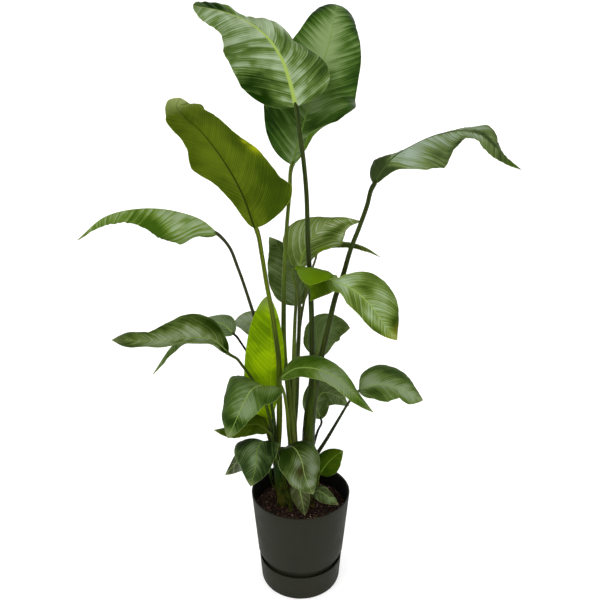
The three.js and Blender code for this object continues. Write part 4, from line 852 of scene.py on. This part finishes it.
def make_shoot(name, shoot, material):
    """One shoot: the sheathed foot and its stalks, closed tubes that run into each other."""
    tubes = [sheath_tube(shoot)]
    tubes += [stalk_tube(leaf, *stalk) for leaf, stalk in shoot["stalks"].items()]
    firsts = np.cumsum([0] + [len(points) for points, *_ in tubes])
    faces = [f + first for (_, parts, _, _), first in zip(tubes, firsts) for f in parts]
    values = {
        key: np.concatenate([with_ends(values[key].reshape(-1, 1)) for _, _, values, _ in tubes])
        for key in ("around", "height", "sheath")
    }
    points = np.concatenate([points for points, *_ in tubes])
    tint = np.concatenate([with_ends(tint) for *_, tint in tubes])
    make_piece("stalks_" + name, points, faces, material, "stalk", ["shoot_" + name], values, tint)


# Planter, water base and soil


def rounded(profile, radius=0.9, steps=4):
    """A profile of [radius, height] points whose corners are rounded with a quadratic curve."""
    p = np.asarray(profile, float)
    made = [p[:1]]
    for before, corner, after in zip(p[:-2], p[1:-1], p[2:]):
        to, on = before - corner, after - corner
        cut = min(radius, 0.4 * np.linalg.norm(to), 0.4 * np.linalg.norm(on))
        a, b = corner + unit(to) * cut, corner + unit(on) * cut
        x = np.linspace(0, 1, steps + 1)[:, None]
        made.append((1 - x) ** 2 * a + 2 * x * (1 - x) * corner + x**2 * b)
    return np.concatenate([*made, p[-1:]])


def split_long(profile, most=12):
    """The profile with its long runs cut into steps no longer than most."""
    made = [profile[:1]]
    for a, b in zip(profile[:-1], profile[1:]):
        count = max(1, int(np.ceil(np.linalg.norm(b - a) / most)))
        x = np.linspace(0, 1, count + 1)[1:, None]
        made.append(a + (b - a) * x)
    return np.concatenate(made)


def turned(profile):
    """A body turned about Z: the profile, axis to axis from below outwards and up."""
    profile = split_long(rounded(profile))
    rings = rings_about_z(*profile[1:-1].T, TURNED_SIDES)
    return closed_rings(rings, [0, 0, profile[0, 1]], [0, 0, profile[-1, 1]])


def wall_inside(z):
    """Inner radius of the planter's wall at a height."""
    f = (z - SKIRT_EDGE_HEIGHT) / (PLANTER_HEIGHT - SKIRT_EDGE_HEIGHT)
    return SKIRT_EDGE_RADIUS - WALL + (RIM_RADIUS - SKIRT_EDGE_RADIUS) * f


def make_planter(material):
    """Turned: foot, waist, the skirt that hangs over the waist, wall, rim and inside."""
    points, faces = turned([
        [0, POT_FOOT_HEIGHT],
        [POT_FOOT_RADIUS - 3, POT_FOOT_HEIGHT],
        [POT_FOOT_RADIUS, POT_FOOT_HEIGHT + 3],
        [POT_WAIST_RADIUS, POT_WAIST_HEIGHT],
        [SKIRT_EDGE_RADIUS - SKIRT_THICK, POT_WAIST_HEIGHT],
        [SKIRT_EDGE_RADIUS - SKIRT_THICK, SKIRT_EDGE_HEIGHT],
        [SKIRT_EDGE_RADIUS, SKIRT_EDGE_HEIGHT],
        [RIM_RADIUS, PLANTER_HEIGHT],
        [RIM_RADIUS - WALL, PLANTER_HEIGHT],
        [wall_inside(POT_WAIST_HEIGHT + 6), POT_WAIST_HEIGHT + 6],
        [POT_WAIST_RADIUS - WALL, POT_WAIST_HEIGHT],
        [POT_FOOT_RADIUS - WALL, POT_FOOT_HEIGHT + 4],
        [0, POT_FOOT_HEIGHT + 4],
    ])
    height = points[:, 2]
    inner = np.hypot(points[:, 0], points[:, 1]) < wall_inside(height) + WALL / 2
    # Painted shade: 1 on the inner wall over the waist, fading out just under the rim.
    inside = inner * (height > POT_WAIST_HEIGHT + 1) * ease(PLANTER_HEIGHT - height, 1, 12)
    values = {"inside": inside}
    make_piece("planter_shell", points, faces, material, "plastic", ["planter"], values, sharp=40)


def make_water_base(material):
    """Turned: flat underside, slightly flared wall, rounded rim, inside and floor."""
    slope = (BASE_RIM_RADIUS - BASE_RADIUS) / BASE_HEIGHT
    points, faces = turned([
        [0, 0],
        [BASE_RADIUS - 0.6, 0],
        [BASE_RADIUS + 2 * slope, 2],
        [BASE_RIM_RADIUS, BASE_HEIGHT],
        [BASE_RIM_RADIUS - BASE_WALL, BASE_HEIGHT],
        [BASE_RADIUS - BASE_WALL + FLOOR * slope, FLOOR],
        [0, FLOOR],
    ])
    make_piece("water_base_shell", points, faces, material, "plastic", ["water_base"], sharp=40)


def soil_top(x, y):
    """Height of the soil: the CAD's slow swell with finer unevenness on it."""
    slow = np.sin(x / 23 + 1) * np.cos(y / 19) + 0.4 * np.sin((x - y) / 11)
    fine = np.sin(x / 4.1 + 2 * np.sin(y / 7.3)) * np.cos(y / 3.7 + 1.5 * np.sin(x / 6.1))
    return SOIL_HEIGHT + SOIL_UNEVEN * slow + 0.9 * fine


def make_soil(material):
    """A closed body: rings from the middle of its underside out, up the wall and back in over
    the top, where the height is soil_top."""
    edge = wall_inside(SOIL_HEIGHT - 4) - 0.5
    low = np.array([[POT_FOOT_RADIUS - WALL - 1, POT_FOOT_HEIGHT + 4.4],
                    [POT_WAIST_RADIUS - WALL - 2.1, POT_WAIST_HEIGHT], [edge - 6, 110.0]])
    over = np.linspace(edge, 1.5, SOIL_RINGS)
    rings = rings_about_z(np.r_[low[:, 0], over], np.r_[low[:, 1], over], SOIL_SIDES)
    top = rings[len(low):]
    top[..., 2] = soil_top(top[..., 0], top[..., 1])
    points, faces = closed_rings(rings, [0, 0, low[0, 1]], [0, 0, soil_top(0, 0)])
    make_piece("soil_bed", points, faces, material, "soil", ["soil"])


GOLDEN = (1 + 5**0.5) / 2
LUMP = unit(np.array([
    [-1, GOLDEN, 0], [1, GOLDEN, 0], [-1, -GOLDEN, 0], [1, -GOLDEN, 0],
    [0, -1, GOLDEN], [0, 1, GOLDEN], [0, -1, -GOLDEN], [0, 1, -GOLDEN],
    [GOLDEN, 0, -1], [GOLDEN, 0, 1], [-GOLDEN, 0, -1], [-GOLDEN, 0, 1],
]))
LUMP_FACES = np.array([
    [0, 11, 5], [0, 5, 1], [0, 1, 7], [0, 7, 10], [0, 10, 11], [1, 5, 9], [5, 11, 4], [11, 10, 2],
    [10, 7, 6], [7, 1, 8], [3, 9, 4], [3, 4, 2], [3, 2, 6], [3, 6, 8], [3, 8, 9], [4, 9, 5],
    [2, 4, 11], [6, 2, 10], [8, 6, 7], [9, 8, 1],
])


def make_crumbs(name, count, sizes, material, seed, flat=0.75):
    """Small lumps strewn on the soil: a twelve-cornered ball, each corner moved in or out, the
    lump stretched, turned and set partly into the soil, and none where a shoot stands."""
    draw = np.random.default_rng(seed)
    radius = (wall_inside(SOIL_HEIGHT) - 3) * np.sqrt(draw.uniform(0, 1, count))
    turn = draw.uniform(0, 2 * math.pi, count)
    x, y = radius * np.cos(turn), radius * np.sin(turn)
    clear = np.ones(count, bool)
    for shoot in SHOOTS.values():
        at = shoot["way"][0]
        clear &= np.hypot(x - at[0], y - at[1]) > shoot["radii"][0] * 0.95
    x, y = x[clear], y[clear]
    many = len(x)
    size = sizes[0] + (sizes[1] - sizes[0]) * draw.uniform(0, 1, many) ** 2.2
    lumps = LUMP[None] * draw.uniform(0.72, 1.2, (many, 12, 1)) * size[:, None, None]
    lumps = lumps * draw.uniform([[0.7, 0.7, flat * 0.7]], [[1.25, 1.25, flat]], (many, 3))[:, None]
    a, b = draw.uniform(0, 2 * math.pi, (2, many, 1))
    tip = b * 0.2
    lx, ly, lz = lumps[..., 0], lumps[..., 1], lumps[..., 2]
    ly, lz = ly * np.cos(tip) - lz * np.sin(tip), ly * np.sin(tip) + lz * np.cos(tip)
    lx, ly = lx * np.cos(a) - ly * np.sin(a), lx * np.sin(a) + ly * np.cos(a)
    z = soil_top(x, y) + size * 0.3
    points = np.stack([lx + x[:, None], ly + y[:, None], lz + z[:, None]], -1).reshape(-1, 3)
    faces = (LUMP_FACES[None] + 12 * np.arange(many)[:, None, None]).reshape(-1, 3)
    shade = np.repeat(draw.uniform(0, 1, many), 12)
    make_piece(name, points, [faces], material, "soil", (), {"shade": shade}, sharp=30)


# Materials


class Value:
    """A node's output that can stand in a sum: it takes +, -, * and / with numbers and others."""

    def __init__(self, nodes, socket):
        self.nodes = nodes
        self.socket = socket

    def __add__(self, other):
        return self.nodes.math("ADD", self, other)

    def __sub__(self, other):
        return self.nodes.math("SUBTRACT", self, other)

    def __rsub__(self, other):
        return self.nodes.math("SUBTRACT", other, self)

    def __mul__(self, other):
        return self.nodes.math("MULTIPLY", self, other)

    def __truediv__(self, other):
        return self.nodes.math("DIVIDE", self, other)

    def clamped(self):
        """The same value, kept between 0 and 1."""
        self.socket.node.use_clamp = True
        return self


class Nodes:
    """Short calls that add nodes to one tree. An input is a number, a colour or a Value."""

    def __init__(self, tree):
        self.tree = tree

    def node(self, kind, inputs=(), **settings):
        node = self.tree.nodes.new(kind)
        for key, value in settings.items():
            setattr(node, key, value)
        for key, value in dict(inputs).items():
            self.put(node.inputs[key], value)
        return node

    def put(self, socket, value):
        if isinstance(value, Value):
            self.tree.links.new(value.socket, socket)
        else:
            socket.default_value = value

    def add(self, kind, inputs=(), output=0, **settings):
        """A new node's one output."""
        return Value(self, self.node(kind, inputs, **settings).outputs[output])

    def all_of(self, kind, inputs=(), **settings):
        """A new node's outputs by name."""
        outputs = self.node(kind, inputs, **settings).outputs
        return {key: Value(self, socket) for key, socket in outputs.items()}

    def math(self, operation, a, b=0.0):
        return self.add("ShaderNodeMath", {0: a, 1: b}, operation=operation)

    def span(self, value, low, high, to_low=0.0, to_high=1.0):
        """Smoothly from to_low at low to to_high at high."""
        inputs = {0: value, 1: low, 2: high, 3: to_low, 4: to_high}
        return self.add("ShaderNodeMapRange", inputs, interpolation_type="SMOOTHSTEP")

    def mix(self, amount, a, b, blend="MIX"):
        inputs = {0: amount, 6: a, 7: b}
        return self.add("ShaderNodeMix", inputs, 2, data_type="RGBA", blend_type=blend)

    def vector(self, x, y, z=0.0):
        return self.add("ShaderNodeCombineXYZ", {0: x, 1: y, 2: z})

    def noise(self, vector, scale=1.0, detail=2.0, rough=0.5):
        inputs = {"Vector": vector, "Scale": scale, "Detail": detail, "Roughness": rough}
        return self.add("ShaderNodeTexNoise", inputs)

    def value(self, name, output="Fac"):
        return self.add("ShaderNodeAttribute", (), output, attribute_name=name)

    def place(self):
        return self.add("ShaderNodeTexCoord", (), "Object")

    def marks(self, group, inputs):
        return self.all_of("ShaderNodeGroup", inputs, node_tree=group)

    def finish(self, shader, body, height, strength, distance, rough=None):
        """Gives the shader its colour, its bumps and, if it changes, its roughness."""
        self.put(shader.inputs["Base Color"], body)
        if rough is not None:
            self.put(shader.inputs["Roughness"], rough)
        inputs = {"Height": height, "Strength": strength, "Distance": distance}
        self.put(shader.inputs["Normal"], self.add("ShaderNodeBump", inputs))


def open_group(name, inputs):
    """An empty node group and its inputs, given as {name: first value}."""
    tree = bpy.data.node_groups.new(name, "ShaderNodeTree")
    for key, first in inputs.items():
        socket = tree.interface.new_socket(key, in_out="INPUT", socket_type="NodeSocketFloat")
        socket.default_value = first
    n = Nodes(tree)
    return n, n.all_of("NodeGroupInput")


def close_group(n, results):
    """The group with its results, given as {name: value}, put out."""
    for key in results:
        n.tree.interface.new_socket(key, in_out="OUTPUT", socket_type="NodeSocketFloat")
    n.node("NodeGroupOutput", results)
    return n.tree


def pleat_highlight(n, start, drift, often):
    """Painted highlight on the pale, lit side of the pleats that come often times a pleat's width:
    it rises in a sixth of the width and fades over the rest, and noise draws each one's strength."""
    place = (start["Pleat"] + drift * 0.8) * often
    along = n.math("FRACT", place)
    which = n.vector(n.math("FLOOR", place) * 3.7, start["Across"] / 0.05, start["Seed"])
    fade = n.math("POWER", 1.0 - along, 1.2)
    strength = n.span(n.noise(which, detail=1.0), 0.34, 0.6, 0.1, 1.3)
    return n.span(along, 0.0, 0.16) * fade * strength


def leaf_marks():
    """Masks of a blade from its own measures in metres: the midrib, the thin edge line, fine side
    veins, a painted sheen on the pleats' lit sides, nearness to the rib, slow patches, and the height
    that the veins raise."""
    n, start = open_group("leaf marks", {
        "Across": 0.0, "Edge": 0.0, "Vein": 0.0, "Along": 0.0, "Pleat": 0.0, "Rib Width": 0.004,
        "Seed": 0.0,
    })
    across = n.math("ABSOLUTE", start["Across"])
    near = across / (start["Rib Width"] * (1.1 - start["Along"]))
    drift = n.noise(n.vector(start["Pleat"] * 0.8, start["Across"] / 0.11, start["Seed"]))
    # Painted sheen on the lit side of each pleat, at two sizes.
    fine = pleat_highlight(n, start, drift, 2.7) * 0.7
    pleat_lit_sides = n.math("MAXIMUM", pleat_highlight(n, start, drift, 1.0), fine)
    hair = n.noise(n.vector(start["Vein"] / HAIR_STEP, start["Across"] / 0.06, start["Seed"]))
    beat = n.math("FRACT", start["Vein"] / VEIN_STEP + hair * 0.5)
    veins = n.span(n.math("ABSOLUTE", beat - 0.5) * 2.0, 0.45, 1.0)
    return close_group(n, {
        "Rib": n.span(near, 0.65, 1.35, 1.0, 0.0),
        "Edge Line": n.span(start["Edge"], 0.0003, 0.0016, 1.0, 0.0),
        "Veins": veins,
        "Pleat Sheen": pleat_lit_sides * 0.75 + n.span(drift, 0.3, 0.7, 0.0, 0.25),
        "Centre": start["Edge"] / (start["Edge"] + across + 0.0001),
        "Mottle": n.span(n.noise(n.place(), 13.0, 3.0, 0.55), 0.32, 0.68),
        "Height": veins * 0.6 + hair * 0.5,
    })


def grit():
    """Fine specks and coarse clouds on Object coordinates: two noises, and a mix as their height."""
    n, start = open_group("grit", {"Fine": 900.0, "Coarse": 60.0})
    place = n.place()
    specks = n.span(n.noise(place, start["Fine"], 2.0, 0.6), 0.3, 0.7)
    cloud = n.span(n.noise(place, start["Coarse"], 3.0, 0.55), 0.3, 0.7)
    return close_group(n, {"Specks": specks, "Cloud": cloud, "Height": specks * 0.7 + cloud * 0.3})


def new_material(name, rough, gloss=0.5):
    """A material with one Principled shader, its roughness and its specular level."""
    material = bpy.data.materials.new(name)
    material.use_nodes = True
    shader = material.node_tree.nodes["Principled BSDF"]
    shader.inputs["Roughness"].default_value = rough
    shader.inputs["Specular IOR Level"].default_value = gloss
    return material, Nodes(material.node_tree), shader


def leaf_material(name, look, seed, marks_group):
    """Upper face: deep to light green by bands, veins and nearness to the rib, then the midrib,
    the edge line and the tip; the light green, the bands and the tone attribute are painted sheen and
    shade, tone also carrying some of the blade's own tone. Lower face: its own two greens and keel,
    with the same painted bands and tone."""
    look = {**DARK, **look}
    tint = {key: colour(*value) for key, value in look.items() if isinstance(value, tuple)}
    material, n, shader = new_material("finish_" + name, look["rough"], look["gloss"])
    along, under, tone = n.value("along"), n.value("under"), n.value("tone")
    marks = n.marks(marks_group, {
        "Across": n.value("across"), "Edge": n.value("edge"), "Vein": n.value("vein"), "Along": along,
        "Pleat": n.value("pleat"), "Rib Width": look["rib_wide"] * MM, "Seed": seed * 7.3})
    mottle = marks["Mottle"]
    # Painted sheen and shade: bands, tone and the light green stand in for the light on the blade.
    lighter = marks["Pleat Sheen"] * look["bands"] + marks["Centre"] * look["centre"] + look["level"]
    lighter = lighter + mottle * look["patches"] + marks["Veins"] * look["veins"] + tone
    lighter = n.span(lighter, 0.1, 0.9) * 2.0
    red, green, blue = ((a + b) / 2 for a, b in zip(look["deep"], look["light"]))
    middle = colour(red, green + 3, blue * MIDDLE_BLUE)
    upper = n.mix(lighter, tint["deep"], middle)
    upper = n.mix((lighter - 1.0).clamped(), upper, tint["light"])
    tip = n.span(along, 0.86, 1.0)
    upper = n.mix(tip * 0.7, upper, tint["tip"])
    # The lower face takes the same painted sheen of the pleats and painted light and shade of tone.
    shaded = marks["Pleat Sheen"] * look["bands"] + marks["Veins"] * look["veins"] + tone
    lower = n.mix((shaded + mottle * 0.35).clamped(), tint["under"], tint["under_light"])
    lower = n.mix(tip * 0.9, lower, tint.get("under_tip", tint["under_light"]))
    spotted = n.value("spot") * n.span(mottle, -0.2, 0.5)
    both = n.mix(spotted, n.mix(under, upper, lower), tint.get("spot", tint["tip"]))
    both = n.mix(marks["Rib"], both, n.mix(under, tint["rib"], tint["under_rib"]))
    both = n.mix(marks["Edge Line"] * 0.6, both, tint["edge"])
    rough = mottle * 0.12 + (look["rough"] - 0.05) + under * 0.14
    n.finish(shader, both, marks["Height"], 0.35, 0.0006, rough)
    return material


def stalk_material():
    """Lengthwise streaks over the point tints, browner at the foot, with thin fibres as bump."""
    material, n, shader = new_material("finish_stalk", 0.42, 0.08)
    tint = n.value("tint", "Color")
    around, height = n.value("around"), n.value("height")
    streaks = n.span(n.noise(n.vector(around / STREAK_STEP, height / 0.12)), 0.35, 0.65)
    fibres = n.noise(n.vector(around / FIBRE_STEP, height / 0.05, 3.0))
    mottle = n.span(n.noise(n.place(), 30.0, 3.0, 0.6), 0.35, 0.7)
    dark = n.mix(1.0, tint, (0.45, 0.45, 0.4, 1), "MULTIPLY")
    light = n.mix(1.0, tint, (1.3, 1.3, 1.25, 1), "MULTIPLY")
    body = n.mix(mottle * 0.12, n.mix(streaks, dark, light), colour(*STALK_MOTTLE))
    foot = n.add("ShaderNodeSeparateXYZ", {0: n.place()}, 2)
    low = n.span(foot, *STALK_FOOT_SPAN, 1.0, 0.0) * n.value("sheath")
    body = n.mix(low * n.span(mottle, 0.1, 0.9, 0.1, 0.55), body, colour(*STALK_FOOT))
    n.finish(shader, body, fibres + streaks * 0.4, 0.4, 0.0005, mottle * 0.2 + 0.34)
    return material


def plastic_material(grit_group):
    """Matt anthracite plastic: a fine grain and faint clouds, and painted shade that makes it nearly black
    inside.
    """
    material, n, shader = new_material("finish_plastic", 0.6, 0.1)
    marks = n.marks(grit_group, {"Fine": 1300.0, "Coarse": 26.0})
    body = n.mix(marks["Cloud"], colour(*PLASTIC), colour(*PLASTIC_CLOUD))
    body = n.mix(marks["Specks"] * 0.25, body, colour(*PLASTIC_SPECK))
    # Painted shade inside the planter.
    body = n.mix(n.value("inside") * 0.9, body, colour(*PLASTIC_INSIDE_SHADE))
    rough = n.span(marks["Cloud"], 0.0, 1.0, 0.56, 0.66)
    n.finish(shader, body, marks["Height"], 0.25, 0.0003, rough)
    return material


def soil_material(name, grit_group, crumbs):
    """Moist potting soil: dark red-brown clouds and specks; crumbs differ by their own shade."""
    material, n, shader = new_material(name, 0.95, 0.2)
    marks = n.marks(grit_group, {"Fine": 420.0, "Coarse": 90.0})
    body = n.mix(marks["Cloud"], colour(*SOIL), colour(*SOIL_CLOUD))
    body = n.mix(marks["Specks"] * 0.5, body, colour(*SOIL_SPECK))
    if crumbs:
        shade = n.value("shade")
        body = n.mix(n.span(shade, 0.0, 0.8), n.mix(0.8, body, colour(*CRUMB_WET)), body)
        body = n.mix(n.span(shade, 0.8, 0.95), body, colour(*CRUMB_BARK))
    n.finish(shader, body, marks["Height"], 0.8, 0.0012)
    return material


def perlite_material(grit_group):
    """White volcanic grains, some stained by the soil."""
    material, n, shader = new_material("finish_perlite", 0.85)
    marks = n.marks(grit_group, {"Fine": 900.0, "Coarse": 300.0})
    clean = n.mix(marks["Specks"], colour(*PERLITE_PALE), colour(*PERLITE_WHITE))
    stain = n.span(n.value("shade"), 0.2, 1.0) * 0.6
    n.finish(shader, n.mix(stain, clean, colour(*PERLITE_STAIN)), marks["Height"], 0.6, 0.0006)
    return material


# Stage


def make_stage():
    """A round pale floor that curves up into a wall all round."""
    bend = np.linspace(0, math.pi / 2, 13)[1:]
    flat = STAGE_RADIUS - STAGE_CURVE
    curve = np.stack([flat + STAGE_CURVE * np.sin(bend), STAGE_CURVE * (1 - np.cos(bend))], 1)
    profile = np.concatenate([[[900, 0], [flat, 0]], curve, [[STAGE_RADIUS, STAGE_HEIGHT]]])
    rings = rings_about_z(*profile.T, STAGE_SIDES)
    points = np.concatenate([rings.reshape(-1, 3), [[0, 0, 0]]]) * MM
    around = ring_faces(len(profile), STAGE_SIDES)[:, ::-1]
    faces = [*around.tolist(), *fan_faces(np.arange(STAGE_SIDES), len(points) - 1).tolist()]
    mesh = bpy.data.meshes.new("stage")
    mesh.from_pydata(points.tolist(), [], faces)
    mesh.polygons.foreach_set("use_smooth", np.ones(len(faces), bool))
    material, n, shader = new_material("finish_stage", 0.9, 0.1)
    n.put(shader.inputs["Base Color"], n.mix(n.noise(n.place(), 3.0), *STAGE_PALES))
    shader.inputs["Emission Color"].default_value = (1, 1, 1, 1)
    shader.inputs["Emission Strength"].default_value = STAGE_GLOW
    mesh.materials.append(material)
    stage = bpy.data.objects.new("stage", mesh)
    bpy.context.collection.objects.link(stage)


def add_light(name, at, aim, size, power):
    """A square soft light of that size in metres, turned to its aim."""
    light = bpy.data.lights.new(name, "AREA")
    light.shape = "SQUARE"
    light.size = size
    light.energy = power
    holder = bpy.data.objects.new(name, light)
    holder.location = at
    holder.rotation_euler = (Vector(aim) - Vector(at)).to_track_quat("-Z", "Y").to_euler()
    bpy.context.collection.objects.link(holder)


def add_lights():
    """An even white world, and the lights."""
    world = bpy.data.worlds.new("studio")
    world.use_nodes = True
    world.node_tree.nodes["Background"].inputs[0].default_value = (1, 1, 1, 1)
    world.node_tree.nodes["Background"].inputs[1].default_value = WORLD_LIGHT
    bpy.context.scene.world = world
    for name, light in LIGHTS.items():
        add_light(name, *light)


def make_camera():
    """The photograph's view: 971 mm up, 1.13 m in front, looking 12.4 degrees down."""
    data = bpy.data.cameras.new("camera")
    data.lens = CAMERA_LENS
    data.sensor_width = CAMERA_SENSOR
    data.clip_start = 0.05
    data.clip_end = 40
    camera = bpy.data.objects.new("camera", data)
    camera.location = Vector(CAMERA_AT) * MM
    camera.rotation_euler = ((90 - CAMERA_DOWN) * DEG, 0, 0)
    bpy.context.collection.objects.link(camera)
    bpy.context.scene.camera = camera


# The whole object

SLOTS = {
    "leaf_green": ["top_left", "top_back", "low_left", "front_arch", "far_left", "pot_front", "pot_bright"],
    "leaf_olive": ["upper_left"],
    "leaf_lime": ["young_lime"],
}


def slot_of(leaf):
    """The slot that lists the leaf, or the dark one."""
    return next((slot for slot, leaves in SLOTS.items() if leaf in leaves), "leaf_dark")


make_camera()
make_stage()
add_lights()

marks = leaf_marks()
grains = grit()
for seed, (name, leaf) in enumerate(LEAVES.items()):
    make_blade(name, leaf, leaf_material(name, LOOKS[name], seed, marks), 100 + 10 * seed)
stalks = stalk_material()
for name, shoot in SHOOTS.items():
    make_shoot(name, shoot, stalks)
plastic = plastic_material(grains)
make_planter(plastic)
make_water_base(plastic)
make_soil(soil_material("finish_soil", grains, False))
crumbs = soil_material("finish_crumbs", grains, True)
make_crumbs("soil_crumbs", CRUMBS, CRUMB_SIZES, crumbs, SEED)
make_crumbs("perlite", PERLITE, PERLITE_SIZES, perlite_material(grains), SEED + 1, flat=1.0)

bpy.context.scene.view_settings.view_transform = "Standard"
